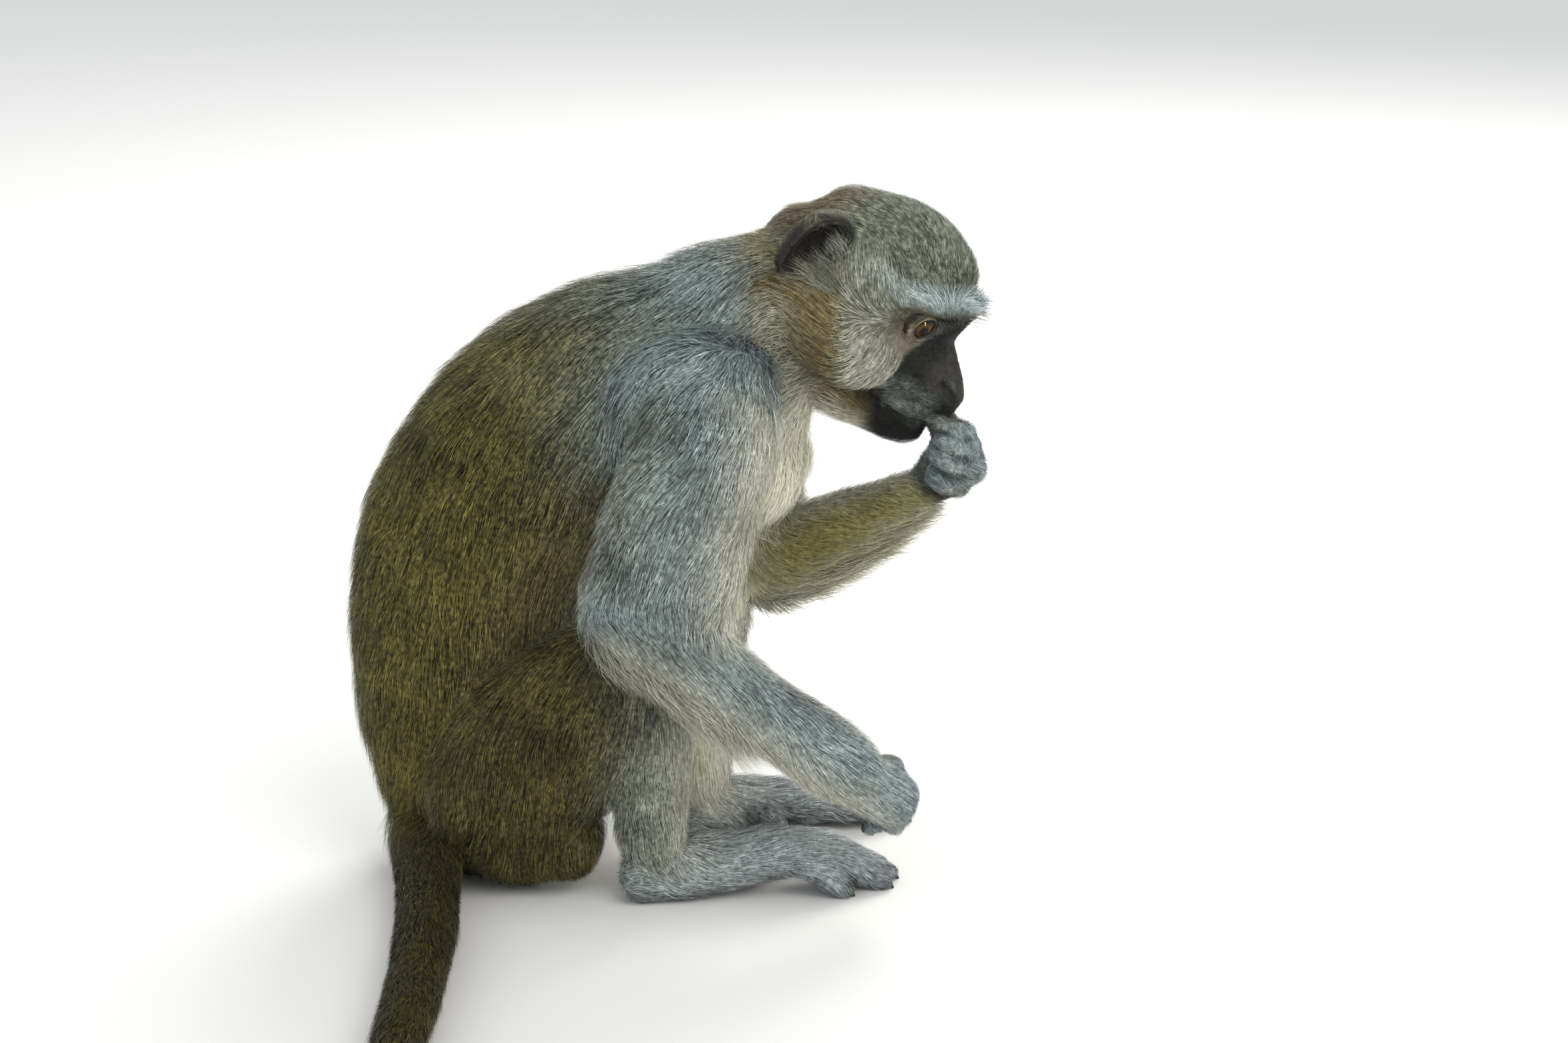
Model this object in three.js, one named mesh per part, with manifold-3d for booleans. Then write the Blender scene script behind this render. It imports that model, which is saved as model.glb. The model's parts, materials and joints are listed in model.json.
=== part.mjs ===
// A vervet monkey, life size, sitting on the ground with its left hand at its mouth.
// Millimetres. +X is the way the body faces, +Y its left side, +Z up. The origin is on the floor,
// on the midline under the seat. Each shape is a function of "grow", the distance by which its
// surface is pushed out, so that a neighbour can be cut clear of it by the gap.
import * as THREE from "three";
import { LoftGeometry } from "three/addons/geometries/LoftGeometry.js";
import { mergeVertices } from "three/addons/utils/BufferGeometryUtils.js";
import Module from "manifold-3d";

const wasm = await Module();
wasm.setup();

// ---------------------------------------------------------------- driving dimensions
const GAP = 0.3; // between touching pieces
const DIGIT_SIDES = 6; // round a finger or toe
const WELD = 1e-3; // vertices closer than this are one
const FAR = 1200; // side of the blocks that cut along a plane
const RIGHT = -1;
const LEFT = 1;

const HEAD = { at: [163, 0, 272], pitch: 35, yaw: -12 }; // between the ears, looking down and aside
const EYE = { forward: 27.8, apart: 31, up: 11.2, radius: 9, socket: 9.3, lid: 11.2 };
const LID_OPENING = { width: 15.5, height: 9.5, aside: 36, down: 4 };
const EAR = { forward: -24, out: 38, up: 14, length: 37, width: 25, depth: 9, wall: 1.8, tilt: 24 };

const JOINT = {
  shoulder: { right: [102, -56, 231], left: [112, 50, 214] },
  elbow: { right: [54, -91, 143], left: [116, 62, 127] },
  wrist: { right: [162, -75, 67], left: [198, 14, 181] },
  knuckles: { right: [182.5, -68, 56], left: [216.5, -12, 198] },
  hip: { right: [-4, -36, 36], left: [-4, 36, 36] },
  knee: { right: [70, -60, 124], left: [90, 48, 122] },
  ankle: { right: [69, -53, 24], left: [89, 34, 20] },
  heel: { right: [54, -53, -1.2], left: [75, 31, -0.9] }, // just under the floor, which flattens the soles
};
const FOOT_TURN = { right: 6, left: 17 }; // degrees from straight ahead

const COLOUR = {
  olive: 0x7d7357,
  grey: 0x93938c,
  pale: 0xc9c4b0,
  face: 0x24211f,
  skin: 0x2c2725,
  eye: 0x7a4216,
};

// ---------------------------------------------------------------- making solids
const rad = THREE.MathUtils.degToRad;
const point = ([x, y, z]) => new THREE.Vector3(x, y, z);
const side = (name) => (name === "right" ? RIGHT : LEFT);

function solidOf(geometry) {
  const bare = new THREE.BufferGeometry().setIndex(geometry.index);
  bare.setAttribute("position", geometry.getAttribute("position"));
  const merged = mergeVertices(bare, WELD);
  const mesh = { numProp: 3, vertProperties: merged.attributes.position.array };
  return new wasm.Manifold(new wasm.Mesh({ ...mesh, triVerts: new Uint32Array(merged.index.array) }));
}

function placed(geometry, matrix) {
  return solidOf(matrix ? geometry.applyMatrix4(matrix) : geometry);
}

// one ring of a limb: an ellipse round a centre, wide along "sideways" and deep along "upward"
function ring(centre, sideways, upward, wide, deep, sides) {
  const points = [];
  for (let i = 0; i < sides; i++) {
    const turn = (i / sides) * Math.PI * 2;
    points.push(
      centre
        .clone()
        .addScaledVector(sideways, wide * Math.cos(turn))
        .addScaledVector(upward, deep * Math.sin(turn)),
    );
  }
  return points;
}

// a rounded length of flesh along a smooth path; a station is [x, y, z, half width, half depth]
function limb(stations, options = {}) {
  const { across = [0, 1, 0], sides = 12, rings = 1, domes = [0.6, 0.6], matrix = null } = options;
  const path = new THREE.CatmullRomCurve3(stations.map(point));
  const sizes = new THREE.CatmullRomCurve3(stations.map(([, , , wide, deep]) => point([wide, deep, 0])));
  const steps = (stations.length - 1) * rings;
  const domeTurns = (sides > DIGIT_SIDES ? [25, 60] : [45]).map(rad);

  const frameAt = (t) => {
    const tangent = path.getTangent(t);
    const sideways = point(across).addScaledVector(tangent, -tangent.dot(point(across))).normalize();
    const upward = tangent.clone().cross(sideways);
    return { centre: path.getPoint(t), size: sizes.getPoint(t), tangent, sideways, upward };
  };

  const shape = (grow = 0) => {
    const sections = [];
    const addRing = (t, along, share) => {
      const { centre, size, tangent, sideways, upward } = frameAt(t);
      const wide = (size.x + grow) * share;
      const deep = (size.y + grow) * share;
      sections.push(ring(centre.addScaledVector(tangent, along), sideways, upward, wide, deep, sides));
    };
    const domeLength = (t, share) => Math.min(sizes.getPoint(t).x, sizes.getPoint(t).y) * share + grow;
    if (domes[0]) {
      domeTurns.forEach((turn) => addRing(0, -domeLength(0, domes[0]) * Math.cos(turn), Math.sin(turn)));
    }
    for (let i = 0; i <= steps; i++) addRing(i / steps, 0, 1);
    if (domes[1]) {
      [...domeTurns]
        .reverse()
        .forEach((turn) => addRing(1, domeLength(1, domes[1]) * Math.cos(turn), Math.sin(turn)));
    }
    return placed(new LoftGeometry(sections, { capStart: true, capEnd: true }), matrix);
  };

  // a place on the skin: a share of the length, and a turn in degrees from sideways to upward
  shape.skin = (t, turn) => {
    const { centre, size, sideways, upward } = frameAt(t);
    const [cos, sin] = [Math.cos(rad(turn)), Math.sin(rad(turn))];
    const at = centre.addScaledVector(sideways, size.x * cos).addScaledVector(upward, size.y * sin);
    const normal = sideways.multiplyScalar(cos / size.x).addScaledVector(upward, sin / size.y).normalize();
    if (!matrix) return { at, normal };
    return { at: at.applyMatrix4(matrix), normal: normal.transformDirection(matrix) };
  };
  return shape;
}

// an egg of flesh with three radii, turned by three angles in degrees
function ball(centre, radii, { turn = [0, 0, 0], detail = [12, 8], matrix = null } = {}) {
  return (grow = 0) => {
    const turned = new THREE.Euler(...turn.map(rad));
    const place = new THREE.Matrix4().compose(
      point(centre),
      new THREE.Quaternion().setFromEuler(turned),
      point(radii.map((radius) => radius + grow)),
    );
    if (matrix) place.premultiply(matrix);
    return placed(new THREE.SphereGeometry(1, ...detail), place);
  };
}

// everything on one side of a plane, as a block
function halfSpace(at, normal) {
  const facing = new THREE.Quaternion().setFromUnitVectors(point([0, 0, 1]), point(normal).normalize());
  const centre = point(at).addScaledVector(point(normal).normalize(), FAR / 2);
  const place = new THREE.Matrix4().compose(centre, facing, point([1, 1, 1]));
  return () => placed(new THREE.BoxGeometry(FAR, FAR, FAR), place);
}

const union = (shapes, grow = 0) => wasm.Manifold.union(shapes.map((shape) => shape(grow)));
const largest = (solid) => solid.decompose().reduce((a, b) => (b.volume() > a.volume() ? b : a));
const mirrored = (y, name) => y * side(name);

// ---------------------------------------------------------------- locks of hair
const LOCK_SIDES = 3; // flat underneath, with a ridge outside
const SEED = 20731;
const UNEVEN = { turn: 4, row: 0.02, heading: 0.12, length: 0.15 }; // most that locks differ
// how a lock rises, bends back and tapers: shares of its length, lift, bend and thickness
const LOCK_FORM = [
  { along: 0.35, lift: 0.6, bend: 0, fill: 1 },
  { along: 0.7, lift: 1, bend: 0.4, fill: 0.75 },
  { along: 1, lift: 1, bend: 1, fill: 0.12 },
];

// the same "random" numbers each time, between -1 and 1
function seeded(seed) {
  let state = seed;
  return () => {
    state = (state * 16807) % 2147483647;
    return (state / 2147483647) * 2 - 1;
  };
}
const vary = seeded(SEED);

// a flat tapered lock that leaves the skin, rises by lift and bends back towards it by bend
function lock({ at, normal }, lie, { length, width, thick, lift, bend, sink }) {
  const along = lie.clone().addScaledVector(normal, -lie.dot(normal)).normalize();
  const station = (share, rise, fill) => {
    const place = at.clone().addScaledVector(along, length * share).addScaledVector(normal, rise);
    return [...place.toArray(), thick * fill, width * fill];
  };
  const bends = LOCK_FORM.map((form) => station(form.along, lift * form.lift - bend * form.bend, form.fill));
  const options = { across: normal.toArray(), sides: LOCK_SIDES, domes: [0, 0] };
  return limb([station(0, -sink, 1), ...bends], options);
}

// locks over a patch of a limb's skin: rows along its length, each spread over a range of turns
function locks(shape, { rows, turns, count, lie, size, matrix = null }) {
  const made = [];
  rows.forEach((t, row) => {
    for (let i = 0; i < count; i++) {
      const share = (i + 0.25 + 0.5 * (row % 2)) / count; // every second row is set half a lock on
      const turn = turns[0] + (turns[1] - turns[0]) * share + vary() * UNEVEN.turn;
      const at = THREE.MathUtils.clamp(t + vary() * UNEVEN.row, 0, 1);
      const heading = point(lie.map((value) => value + vary() * UNEVEN.heading));
      if (matrix) heading.transformDirection(matrix);
      const length = size.length * (1 + vary() * UNEVEN.length);
      made.push(lock(shape.skin(at, turn), heading, { ...size, length }));
    }
  });
  return made;
}

// ---------------------------------------------------------------- torso and neck
// [x, y, z, half width, half depth] up the middle of the trunk, from the seat to the head
const spine = [
  [-9, 0, 22, 43, 43],
  [-15, 0, 48, 47, 49],
  [-18, 0, 80, 47, 54],
  [-14, 0, 118, 49, 60],
  [2, 0, 158, 53, 69.5],
  [35, 0, 203, 54, 68.5],
  [82, 0, 228, 50, 64],
  [108, 0, 247, 42, 51],
  [128, 0, 257, 37, 43],
  [148, -1, 262, 34, 38],
];
const chestFront = ball([109, 0, 199], [40, 42, 40], { turn: [0, -20, 0] });
const torso = limb(spine, { sides: 18, domes: [0.62, 0.3] });
const torsoShapes = [torso, chestFront];
const cuts = {
  waist: { at: [-16, 0, 84], normal: [-0.1, 0, 1] },
  ribs: { at: [10, 0, 166], normal: [0.56, 0, 0.83] },
  collar: { at: [112, 0, 250], normal: [0.86, 0, 0.5] },
};

// ---------------------------------------------------------------- head
const headPlace = new THREE.Matrix4()
  .makeTranslation(...HEAD.at)
  .multiply(new THREE.Matrix4().makeRotationZ(rad(HEAD.yaw)))
  .multiply(new THREE.Matrix4().makeRotationY(rad(HEAD.pitch)));
const inHead = { matrix: headPlace };

// [forward, aside, up, half width, half height], back to front
const skull = [
  [-38, 0, 1, 25, 24],
  [-28, 0, 2.5, 31, 31],
  [-12, 0, 5, 36, 39],
  [7, 0, 7, 35.5, 42.5],
  [22, 0, 6, 30, 45],
  [35, 0, 2.5, 21, 37.5],
  [42, 0, 2, 15, 31],
];
const muzzle = [
  [22, 0, -9, 27, 24],
  [36, 0, -10.5, 21, 20],
  [48, 0, -12, 17, 16],
  [57, 0, -13.5, 14, 12],
  [62, 0, -14, 11.5, 8.5],
];
const lowerJaw = [
  [4, 0, -36, 26, 17],
  [22, 0, -37, 22, 15],
  [38, 0, -37, 17.5, 12.5],
  [50, 0, -35.5, 13.5, 10.5],
  [56, 0, -33, 10.5, 9],
];
const upperLip = [
  [38, -16, -27, 3.4, 3],
  [50, -12.5, -25, 3.6, 3.1],
  [58.5, -7, -22.5, 3.6, 3.2],
  [61.5, 0, -21.5, 3.4, 3.2],
  [58.5, 7, -22.5, 3.6, 3.2],
  [50, 12.5, -25, 3.6, 3.1],
  [38, 16, -27, 3.4, 3],
];
const browBar = [
  [15, -27, 16, 7, 6],
  [31, -20.5, 21, 7, 6.5],
  [40.5, -11, 23.5, 8, 7],
  [43.5, 0, 23.5, 8.5, 7.5],
  [40.5, 11, 23.5, 8, 7],
  [31, 20.5, 21, 7, 6.5],
  [15, 27, 16, 7, 6],
];
// the cheek under the ruff, front to back
const CHEEK = [
  [28, 19.5, -15, 9, 11],
  [12, 24.5, -15, 11.5, 17],
  [-6, 26, -14, 12.5, 22],
  [-22, 23, -9, 11.5, 18],
];
const RUFF = {
  rows: [0.04, 0.3, 0.56, 0.82], // shares of the cheek's length
  turns: [-48, 92], // from above the side to below it
  count: 5,
  lie: [-0.86, 0.15, -0.47],
  size: { length: 26, width: 8, thick: 2.2, lift: 2.6, bend: -0.6, sink: 2.5 },
};
const BROW_FRINGE = {
  rows: [0.1, 0.23, 0.36, 0.5, 0.64, 0.77, 0.9], // shares of the brow's length
  turns: [38, 46], // between up and forwards
  count: 1,
  lie: [0.85, 0, 0.5],
  size: { length: 13, width: 5, thick: 1.8, lift: 1, bend: -0.5, sink: 2 },
};
const noseBridge = [
  [42, 0, 5, 6, 7],
  [51, 0, -1, 5.6, 5.4],
  [58, 0, -6.5, 6.2, 5],
  [60.5, 0, -9.5, 7.4, 5],
];

const eyeCentre = (name) => [EYE.forward, mirrored(EYE.apart / 2, name), EYE.up];

// the almond-shaped opening between the lids, driven outwards from the middle of the eye
function lidOpening(name) {
  const half = LID_OPENING.width / 2;
  const almond = new THREE.Shape();
  almond.moveTo(-half, 0);
  almond.quadraticCurveTo(0, LID_OPENING.height, half, 0);
  almond.quadraticCurveTo(0, -LID_OPENING.height, -half, 0);
  return () => {
    const geometry = new THREE.ExtrudeGeometry(almond, { depth: 30, bevelEnabled: false, curveSegments: 5 });
    geometry.applyMatrix4(new THREE.Matrix4().makeRotationY(rad(90)));
    geometry.applyMatrix4(new THREE.Matrix4().makeRotationX(rad(90)));
    geometry.applyMatrix4(new THREE.Matrix4().makeRotationY(rad(LID_OPENING.down)));
    geometry.applyMatrix4(new THREE.Matrix4().makeRotationZ(rad(mirrored(LID_OPENING.aside, name))));
    geometry.applyMatrix4(new THREE.Matrix4().makeTranslation(...eyeCentre(name)));
    return placed(geometry, headPlace);
  };
}

const cheek = Object.fromEntries(
  ["right", "left"].map((name) => {
    const stations = CHEEK.map(([x, y, ...rest]) => [x, mirrored(y, name), ...rest]);
    return [name, limb(stations, { sides: 10, domes: [0.5, 0.7], ...inHead })];
  }),
);

const brow = limb(browBar, { across: [0, 0, 1], sides: 8, ...inHead });
const headShapes = [
  limb(skull, { sides: 18, domes: [0.45, 0.3], ...inHead }),
  limb(muzzle, { sides: 14, domes: [0.2, 0.35], ...inHead }),
  limb(upperLip, { across: [0, 0, 1], sides: DIGIT_SIDES, ...inHead }),
  brow,
  limb(noseBridge, { sides: 8, domes: [0.4, 0.7], ...inHead }),
  cheek.right,
  cheek.left,
];
const lids = ["right", "left"].map((name) => {
  const radii = [EYE.lid, EYE.lid, EYE.lid];
  return ball(eyeCentre(name), radii, inHead);
});
const sockets = ["right", "left"].flatMap((name) => [
  ball(eyeCentre(name), [EYE.socket, EYE.socket, EYE.socket], inHead),
  lidOpening(name),
]);
const nostrils = ["right", "left"].map((name) =>
  ball([64.5, mirrored(4.4, name), -11.5], [3.4, 1.5, 2.4], {
    turn: [0, 35, mirrored(-28, name)],
    detail: [6, 5],
    ...inHead,
  }),
);

// a mirrored patch swaps left and right in its turns and its lie
function ruff(name) {
  const { turns, lie, ...patch } = RUFF;
  return locks(cheek[name], {
    ...patch,
    turns: name === "left" ? turns : turns.map((turn) => 180 - turn),
    lie: [lie[0], mirrored(lie[1], name), lie[2]],
    ...inHead,
  });
}
const headLocks = [...ruff("right"), ...ruff("left"), ...locks(brow, { ...BROW_FRINGE, ...inHead })];

const jawShapes = [limb(lowerJaw, { sides: 12, domes: [0.4, 0.6], ...inHead })];

// a cup set on the side of the head: one egg hollowed by a second that lies further out
function ear(name) {
  const turn = [mirrored(8, name), 14, mirrored(-EAR.tilt, name)];
  const centre = [EAR.forward, mirrored(EAR.out, name), EAR.up];
  const outer = [EAR.width / 2, EAR.depth, EAR.length / 2];
  const inner = outer.map((radius) => radius - EAR.wall);
  const hollow = [centre[0] + 2.5, centre[1] + mirrored(5.5, name), centre[2]];
  return {
    shapes: [ball(centre, outer, { turn, ...inHead })],
    cuts: [ball(hollow, inner, { turn, ...inHead })],
  };
}

// ---------------------------------------------------------------- arms
const upperArm = {
  right: [
    limb([
      [100, -55, 229, 25, 33],
      [89, -68, 200, 23, 35],
      [80, -80, 168, 20, 36],
      [75, -86, 148, 18, 37],
    ], { domes: [0.6, 0.5] }),
    ball([76, -33, 224], [50, 24, 40], { turn: [0, -30, 0] }),
  ],
  left: [
    limb([
      [112, 50, 216, 23, 33],
      [115, 57, 184, 22, 27],
      [116, 61, 155, 21, 25],
      [114, 63, 130, 20, 23],
    ]),
    ball([82, 33, 220], [50, 24, 40], { turn: [0, -30, 0] }),
  ],
};
const forearm = {
  right: [
    limb([
      [47, -91, 141, 17, 16.5],
      [72, -90, 131, 19, 25],
      [97, -87, 116, 18.5, 24],
      [116, -84, 103, 17, 20.5],
      [140, -79, 84, 15.5, 17],
      [160, -76, 69, 15, 15.5],
    ], { sides: 10 }),
  ],
  left: [
    limb([
      [116, 62, 126, 20, 23],
      [146, 46, 145, 18, 21],
      [170, 32, 161, 15, 16],
      [190, 19, 175, 12.5, 12.5],
      [197, 15, 180, 12, 12],
    ], { sides: 10 }),
  ],
};

// the long hair that hangs from the underside of the forearm
const FOREARM_FRINGE = {
  right: {
    rows: [0.08, 0.22, 0.36, 0.5, 0.64, 0.78],
    turns: [-100, -84],
    count: 1,
    lie: [0.8, 0, -0.6],
    size: { length: 32, width: 9, thick: 2.6, lift: 1.6, bend: -1.2, sink: 2.5 },
  },
  left: {
    rows: [0.08, 0.22, 0.36, 0.5, 0.64, 0.78],
    turns: [-98, -82],
    count: 1,
    lie: [0.8, -0.5, 0.5],
    size: { length: 30, width: 8.5, thick: 2.6, lift: 1.6, bend: -1.2, sink: 2.5 },
  },
};
const forearmLocks = (name) => locks(forearm[name][0], FOREARM_FRINGE[name]);

// a hand: a palm and four fingers that bend at three joints about the line of the knuckles
const hand = {
  right: {
    across: [-0.05, 0.1, 0.99], // from the little finger to the index finger
    first: [-0.1, 0.93, -0.25], // the way the fingers leave the knuckles
    curl: [75, 70],
    bones: [18, 12, 9],
    thumb: [[166, -65, 63, 6.5, 6.5], [175, -54, 66, 6, 6], [180, -46, 62, 5, 5], [176, -42, 56, 4.4, 4.4]],
    palm: 10.5,
  },
  left: {
    across: [0.02, -0.05, 1],
    first: [-0.78, -0.5, 0.3],
    curl: [-105, -75],
    bones: [17, 12, 8],
    thumb: [[196, 10, 188, 6, 6], [200, 8, 197, 5.6, 5.6], [206, 3, 203, 5, 5], [210, -4, 205, 4.2, 4.2]],
    palm: 9.5,
  },
};
const FINGER = { spacing: 8.7, thick: 6, tip: 4.2, reach: [0, 2.5, 1.5, -2], length: [0.94, 1.06, 1, 0.84] };
const fingerNames = ["index", "middle", "ring", "little"];

function palmShape(name) {
  const { across, palm } = hand[name];
  const wrist = JOINT.wrist[name];
  const knuckles = JOINT.knuckles[name];
  const at = (share) => wrist.map((value, i) => value + (knuckles[i] - value) * share);
  const stations = [
    [...at(0), 13, palm + 1],
    [...at(0.45), 16, palm],
    [...at(0.85), 19, palm - 1.5],
    [...at(1), 19, palm - 3],
  ];
  return limb(stations, { across, sides: 8, domes: [0.5, 0.45] });
}

function fingerShape(name, index) {
  const { across, first, curl, bones } = hand[name];
  const axis = point(across).normalize();
  const along = point(JOINT.knuckles[name]).sub(point(JOINT.wrist[name])).normalize();
  const bend = point(first).normalize();
  const at = point(JOINT.knuckles[name])
    .addScaledVector(axis, FINGER.spacing * (1.5 - index))
    .addScaledVector(along, FINGER.reach[index] - 3);
  const stations = [[...at.toArray(), FINGER.thick, FINGER.thick]];
  bones.forEach((bone, joint) => {
    if (joint) bend.applyAxisAngle(axis, rad(curl[joint - 1]));
    at.addScaledVector(bend, bone * FINGER.length[index]);
    const thick = FINGER.thick + ((FINGER.tip - FINGER.thick) * (joint + 1)) / bones.length;
    stations.push([...at.toArray(), thick, thick]);
  });
  return limb(stations, { across, sides: DIGIT_SIDES, domes: [0.5, 0.8] });
}

function thumbShape(name) {
  return limb(hand[name].thumb, { across: [1, 0, 0], sides: DIGIT_SIDES, domes: [0.5, 0.8] });
}

// ---------------------------------------------------------------- legs
const thigh = {
  right: [
    limb([
      [-4, -36, 36, 30, 38],
      [16, -47, 68, 31, 42],
      [42, -56, 99, 27, 37],
      [64, -60, 120, 21, 27],
    ]),
    ball([12, -37, 33], [42, 27, 35]),
    ball([36, -43, 24], [23, 18, 23], { detail: [8, 6] }),
  ],
  left: [
    limb([
      [-4, 36, 36, 30, 38],
      [20, 43, 68, 29, 40],
      [54, 47, 99, 25, 34],
      [82, 48, 118, 21, 26],
    ]),
    ball([14, 36, 33], [42, 27, 35]),
    ball([42, 36, 24], [25, 18, 23], { detail: [8, 6] }),
  ],
};
const shin = {
  right: [
    limb([
      [71, -60, 122, 19, 23],
      [71, -59, 98, 19, 21.5],
      [70, -57, 68, 16.5, 20],
      [69, -55, 40, 13.5, 19],
      [69, -53, 25, 12, 17],
    ], { sides: 10 }),
  ],
  left: [
    limb([
      [93, 48, 120, 19, 23],
      [93, 46, 98, 18, 21],
      [92, 43, 68, 15.5, 18.5],
      [90, 37, 40, 13, 17.5],
      [89, 34, 22, 12, 16],
    ], { sides: 10 }),
  ],
};

// the fringe that hides the fold between the seat and the heel
const THIGH_FRINGE = {
  rows: [0.1, 0.26, 0.42, 0.58, 0.74],
  turns: [-28, -16],
  count: 1,
  lie: [0.35, 0, -1],
  size: { length: 28, width: 8, thick: 2.4, lift: 2.5, bend: 0, sink: 2.5 },
};
function thighLocks(name) {
  const turns = name === "left" ? THIGH_FRINGE.turns : THIGH_FRINGE.turns.map((turn) => 180 - turn);
  return locks(thigh[name][0], { ...THIGH_FRINGE, turns });
}

// foot shapes are laid out from the heel: [forward, inward, up, half width, half height]
const FOOT = {
  right: [
    [7, 0, 11.5, 12, 12],
    [25, 1, 17, 13, 16.5],
    [50, 2, 18, 13.5, 13.5],
    [73, 5, 19.5, 15.5, 11.5],
    [90, 7, 19, 17.5, 9.5],
  ],
  left: [
    [7, 0, 11, 12, 11.5],
    [25, 1, 13.5, 13, 14],
    [50, 3, 12, 14, 11.5],
    [72, 6, 12, 15.5, 9.5],
    [86, 8, 12, 17, 8.5],
  ],
};
const TOE = { thick: 6.2, tip: 4.3, arch: 2 };
const CLAW = { length: 7, from: 0.25, base: 2.3, tip: 0.5, tipHeight: 1.6 };
// [forward, inward, up] of each toe's root and tip, from the second toe to the fifth
const toeRoots = {
  right: [[90, 19, 18], [93, 10.5, 19], [91, 1.5, 18], [86, -6, 16]],
  left: [[86, 20, 12], [89, 11.5, 13], [87, 2.5, 12], [81, -5, 11]],
};
const toeTips = {
  right: [[124, 23, 4.3], [127, 13, 4.3], [123, 2, 4.3], [104, -6, 4.3]],
  left: [[112, 19, 4], [116, 9, 4], [112, -2, 4], [101, -9, 4]],
};
const HALLUX = {
  right: [[54, 15, 13, 8, 7.5], [68, 26, 10.5, 7, 6.8], [82, 33, 7, 6.4, 6.2]],
  left: [[38, 8, 12.5, 8, 7.5], [44, 18, 9.5, 7.2, 7], [47, 26, 6.2, 6.4, 6.3]],
};
const toeNames = ["second", "third", "fourth", "fifth"];

function footPlace(name) {
  const turn = new THREE.Matrix4().makeRotationZ(rad(FOOT_TURN[name]));
  return new THREE.Matrix4().makeTranslation(...JOINT.heel[name]).multiply(turn);
}

const inward = (stations, name) => stations.map(([x, y, ...rest]) => [x, mirrored(-y, name), ...rest]);

function footShape(name) {
  return limb(inward(FOOT[name], name), { sides: 10, domes: [0.62, 0.5], matrix: footPlace(name) });
}

// a toe from its root to its tip, arched in the middle, with a claw that points forwards and down
function toeShapes(name, index) {
  const from = point(toeRoots[name][index]);
  const to = point(toeTips[name][index]);
  const { thick, tip, arch } = TOE;
  const at = (share, rise) => from.clone().lerp(to, share).add(point([0, 0, rise])).toArray();
  const stations = [
    [...at(-0.12, 0), thick, thick],
    [...at(0.35, arch), thick, thick],
    [...at(0.7, 0), thick - 0.8, thick - 1],
    [...at(1, 0), tip, tip],
  ];
  const options = { sides: DIGIT_SIDES, domes: [0.5, 0.8], matrix: footPlace(name) };
  const heading = to.clone().sub(from).setZ(0).normalize().multiplyScalar(CLAW.length);
  const clawAt = to.clone().addScaledVector(heading, CLAW.from);
  const claw = [
    [...clawAt.toArray(), CLAW.base, CLAW.base],
    [...clawAt.add(heading).setZ(CLAW.tipHeight).toArray(), CLAW.tip, CLAW.tip],
  ];
  const clawOptions = { ...options, sides: 5, domes: [0, 0] };
  return [limb(inward(stations, name), options), limb(inward(claw, name), clawOptions)];
}

const halluxShape = (name) =>
  limb(inward(HALLUX[name], name), { sides: DIGIT_SIDES, domes: [0.4, 0.8], matrix: footPlace(name) });

// ---------------------------------------------------------------- tail
const tailPath = [
  [-33, 4, 23, 17, 21],
  [-37, -22, 18, 18, 18.4],
  [-32, -62, 16, 17, 16.4],
  [-27, -110, 15.4, 16, 15.8],
  [-25, -165, 14.6, 15, 15],
  [-26, -234, 13.2, 13.6, 13.6],
  [-31, -320, 12.1, 12.4, 12.5],
  [-44, -400, 11, 11.4, 11.4],
  [-64, -465, 10, 10.4, 10.4],
  [-84, -512, 9, 9, 9.4],
];
const tailCuts = [-120, -250, -380];
const tailShapes = [limb(tailPath, { across: [0.98, 0, 0.2], sides: 10, rings: 2, domes: [0.3, 1] })];

function tailLength(index) {
  const start = tailCuts[index - 1];
  const end = tailCuts[index];
  const keep = [];
  if (start !== undefined) keep.push(halfSpace([0, start - GAP / 2, 0], [0, -1, 0]));
  if (end !== undefined) keep.push(halfSpace([0, end + GAP / 2, 0], [0, 1, 0]));
  return keep;
}

// ---------------------------------------------------------------- the nodes
const floor = halfSpace([0, 0, 0], [0, 0, -1]);

function above({ at, normal }) {
  return halfSpace(at.map((value, i) => value + (normal[i] * GAP) / 2), normal);
}

function below({ at, normal }) {
  return halfSpace(at.map((value, i) => value - (normal[i] * GAP) / 2), normal.map((value) => -value));
}

// meets: the shapes of the nodes that this one is cut clear of
// tufts: its locks, which are cut clear of "clear" before they are joined on
function build({ shapes, tufts = [], clear = [], meets = [], cut = [], keep = [] }) {
  let solid = union(shapes);
  if (meets.length) solid = solid.subtract(union(meets, GAP));
  if (tufts.length) {
    const strands = union(tufts);
    solid = solid.add(clear.length ? strands.subtract(union(clear, GAP)) : strands);
  }
  if (cut.length) solid = solid.subtract(union(cut));
  keep.forEach((block) => {
    solid = solid.intersect(block());
  });
  return largest(solid.subtract(floor()));
}

const regions = {};
const root = new THREE.Group();

function addNode(region, name, colour, pivot, recipe) {
  if (!regions[region]) {
    regions[region] = new THREE.Group();
    root.add(regions[region]);
  }
  const { vertProperties, triVerts } = build(recipe).translate(pivot.map((value) => -value)).getMesh();
  const geometry = new THREE.BufferGeometry();
  geometry.setAttribute("position", new THREE.BufferAttribute(vertProperties, 3));
  geometry.setIndex(new THREE.BufferAttribute(triVerts, 1));
  const material = new THREE.MeshStandardMaterial({ color: COLOUR[colour], roughness: 0.9, metalness: 0 });
  const mesh = new THREE.Mesh(geometry, material);
  mesh.name = name;
  mesh.position.set(...pivot);
  regions[region].add(mesh);
}

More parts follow.
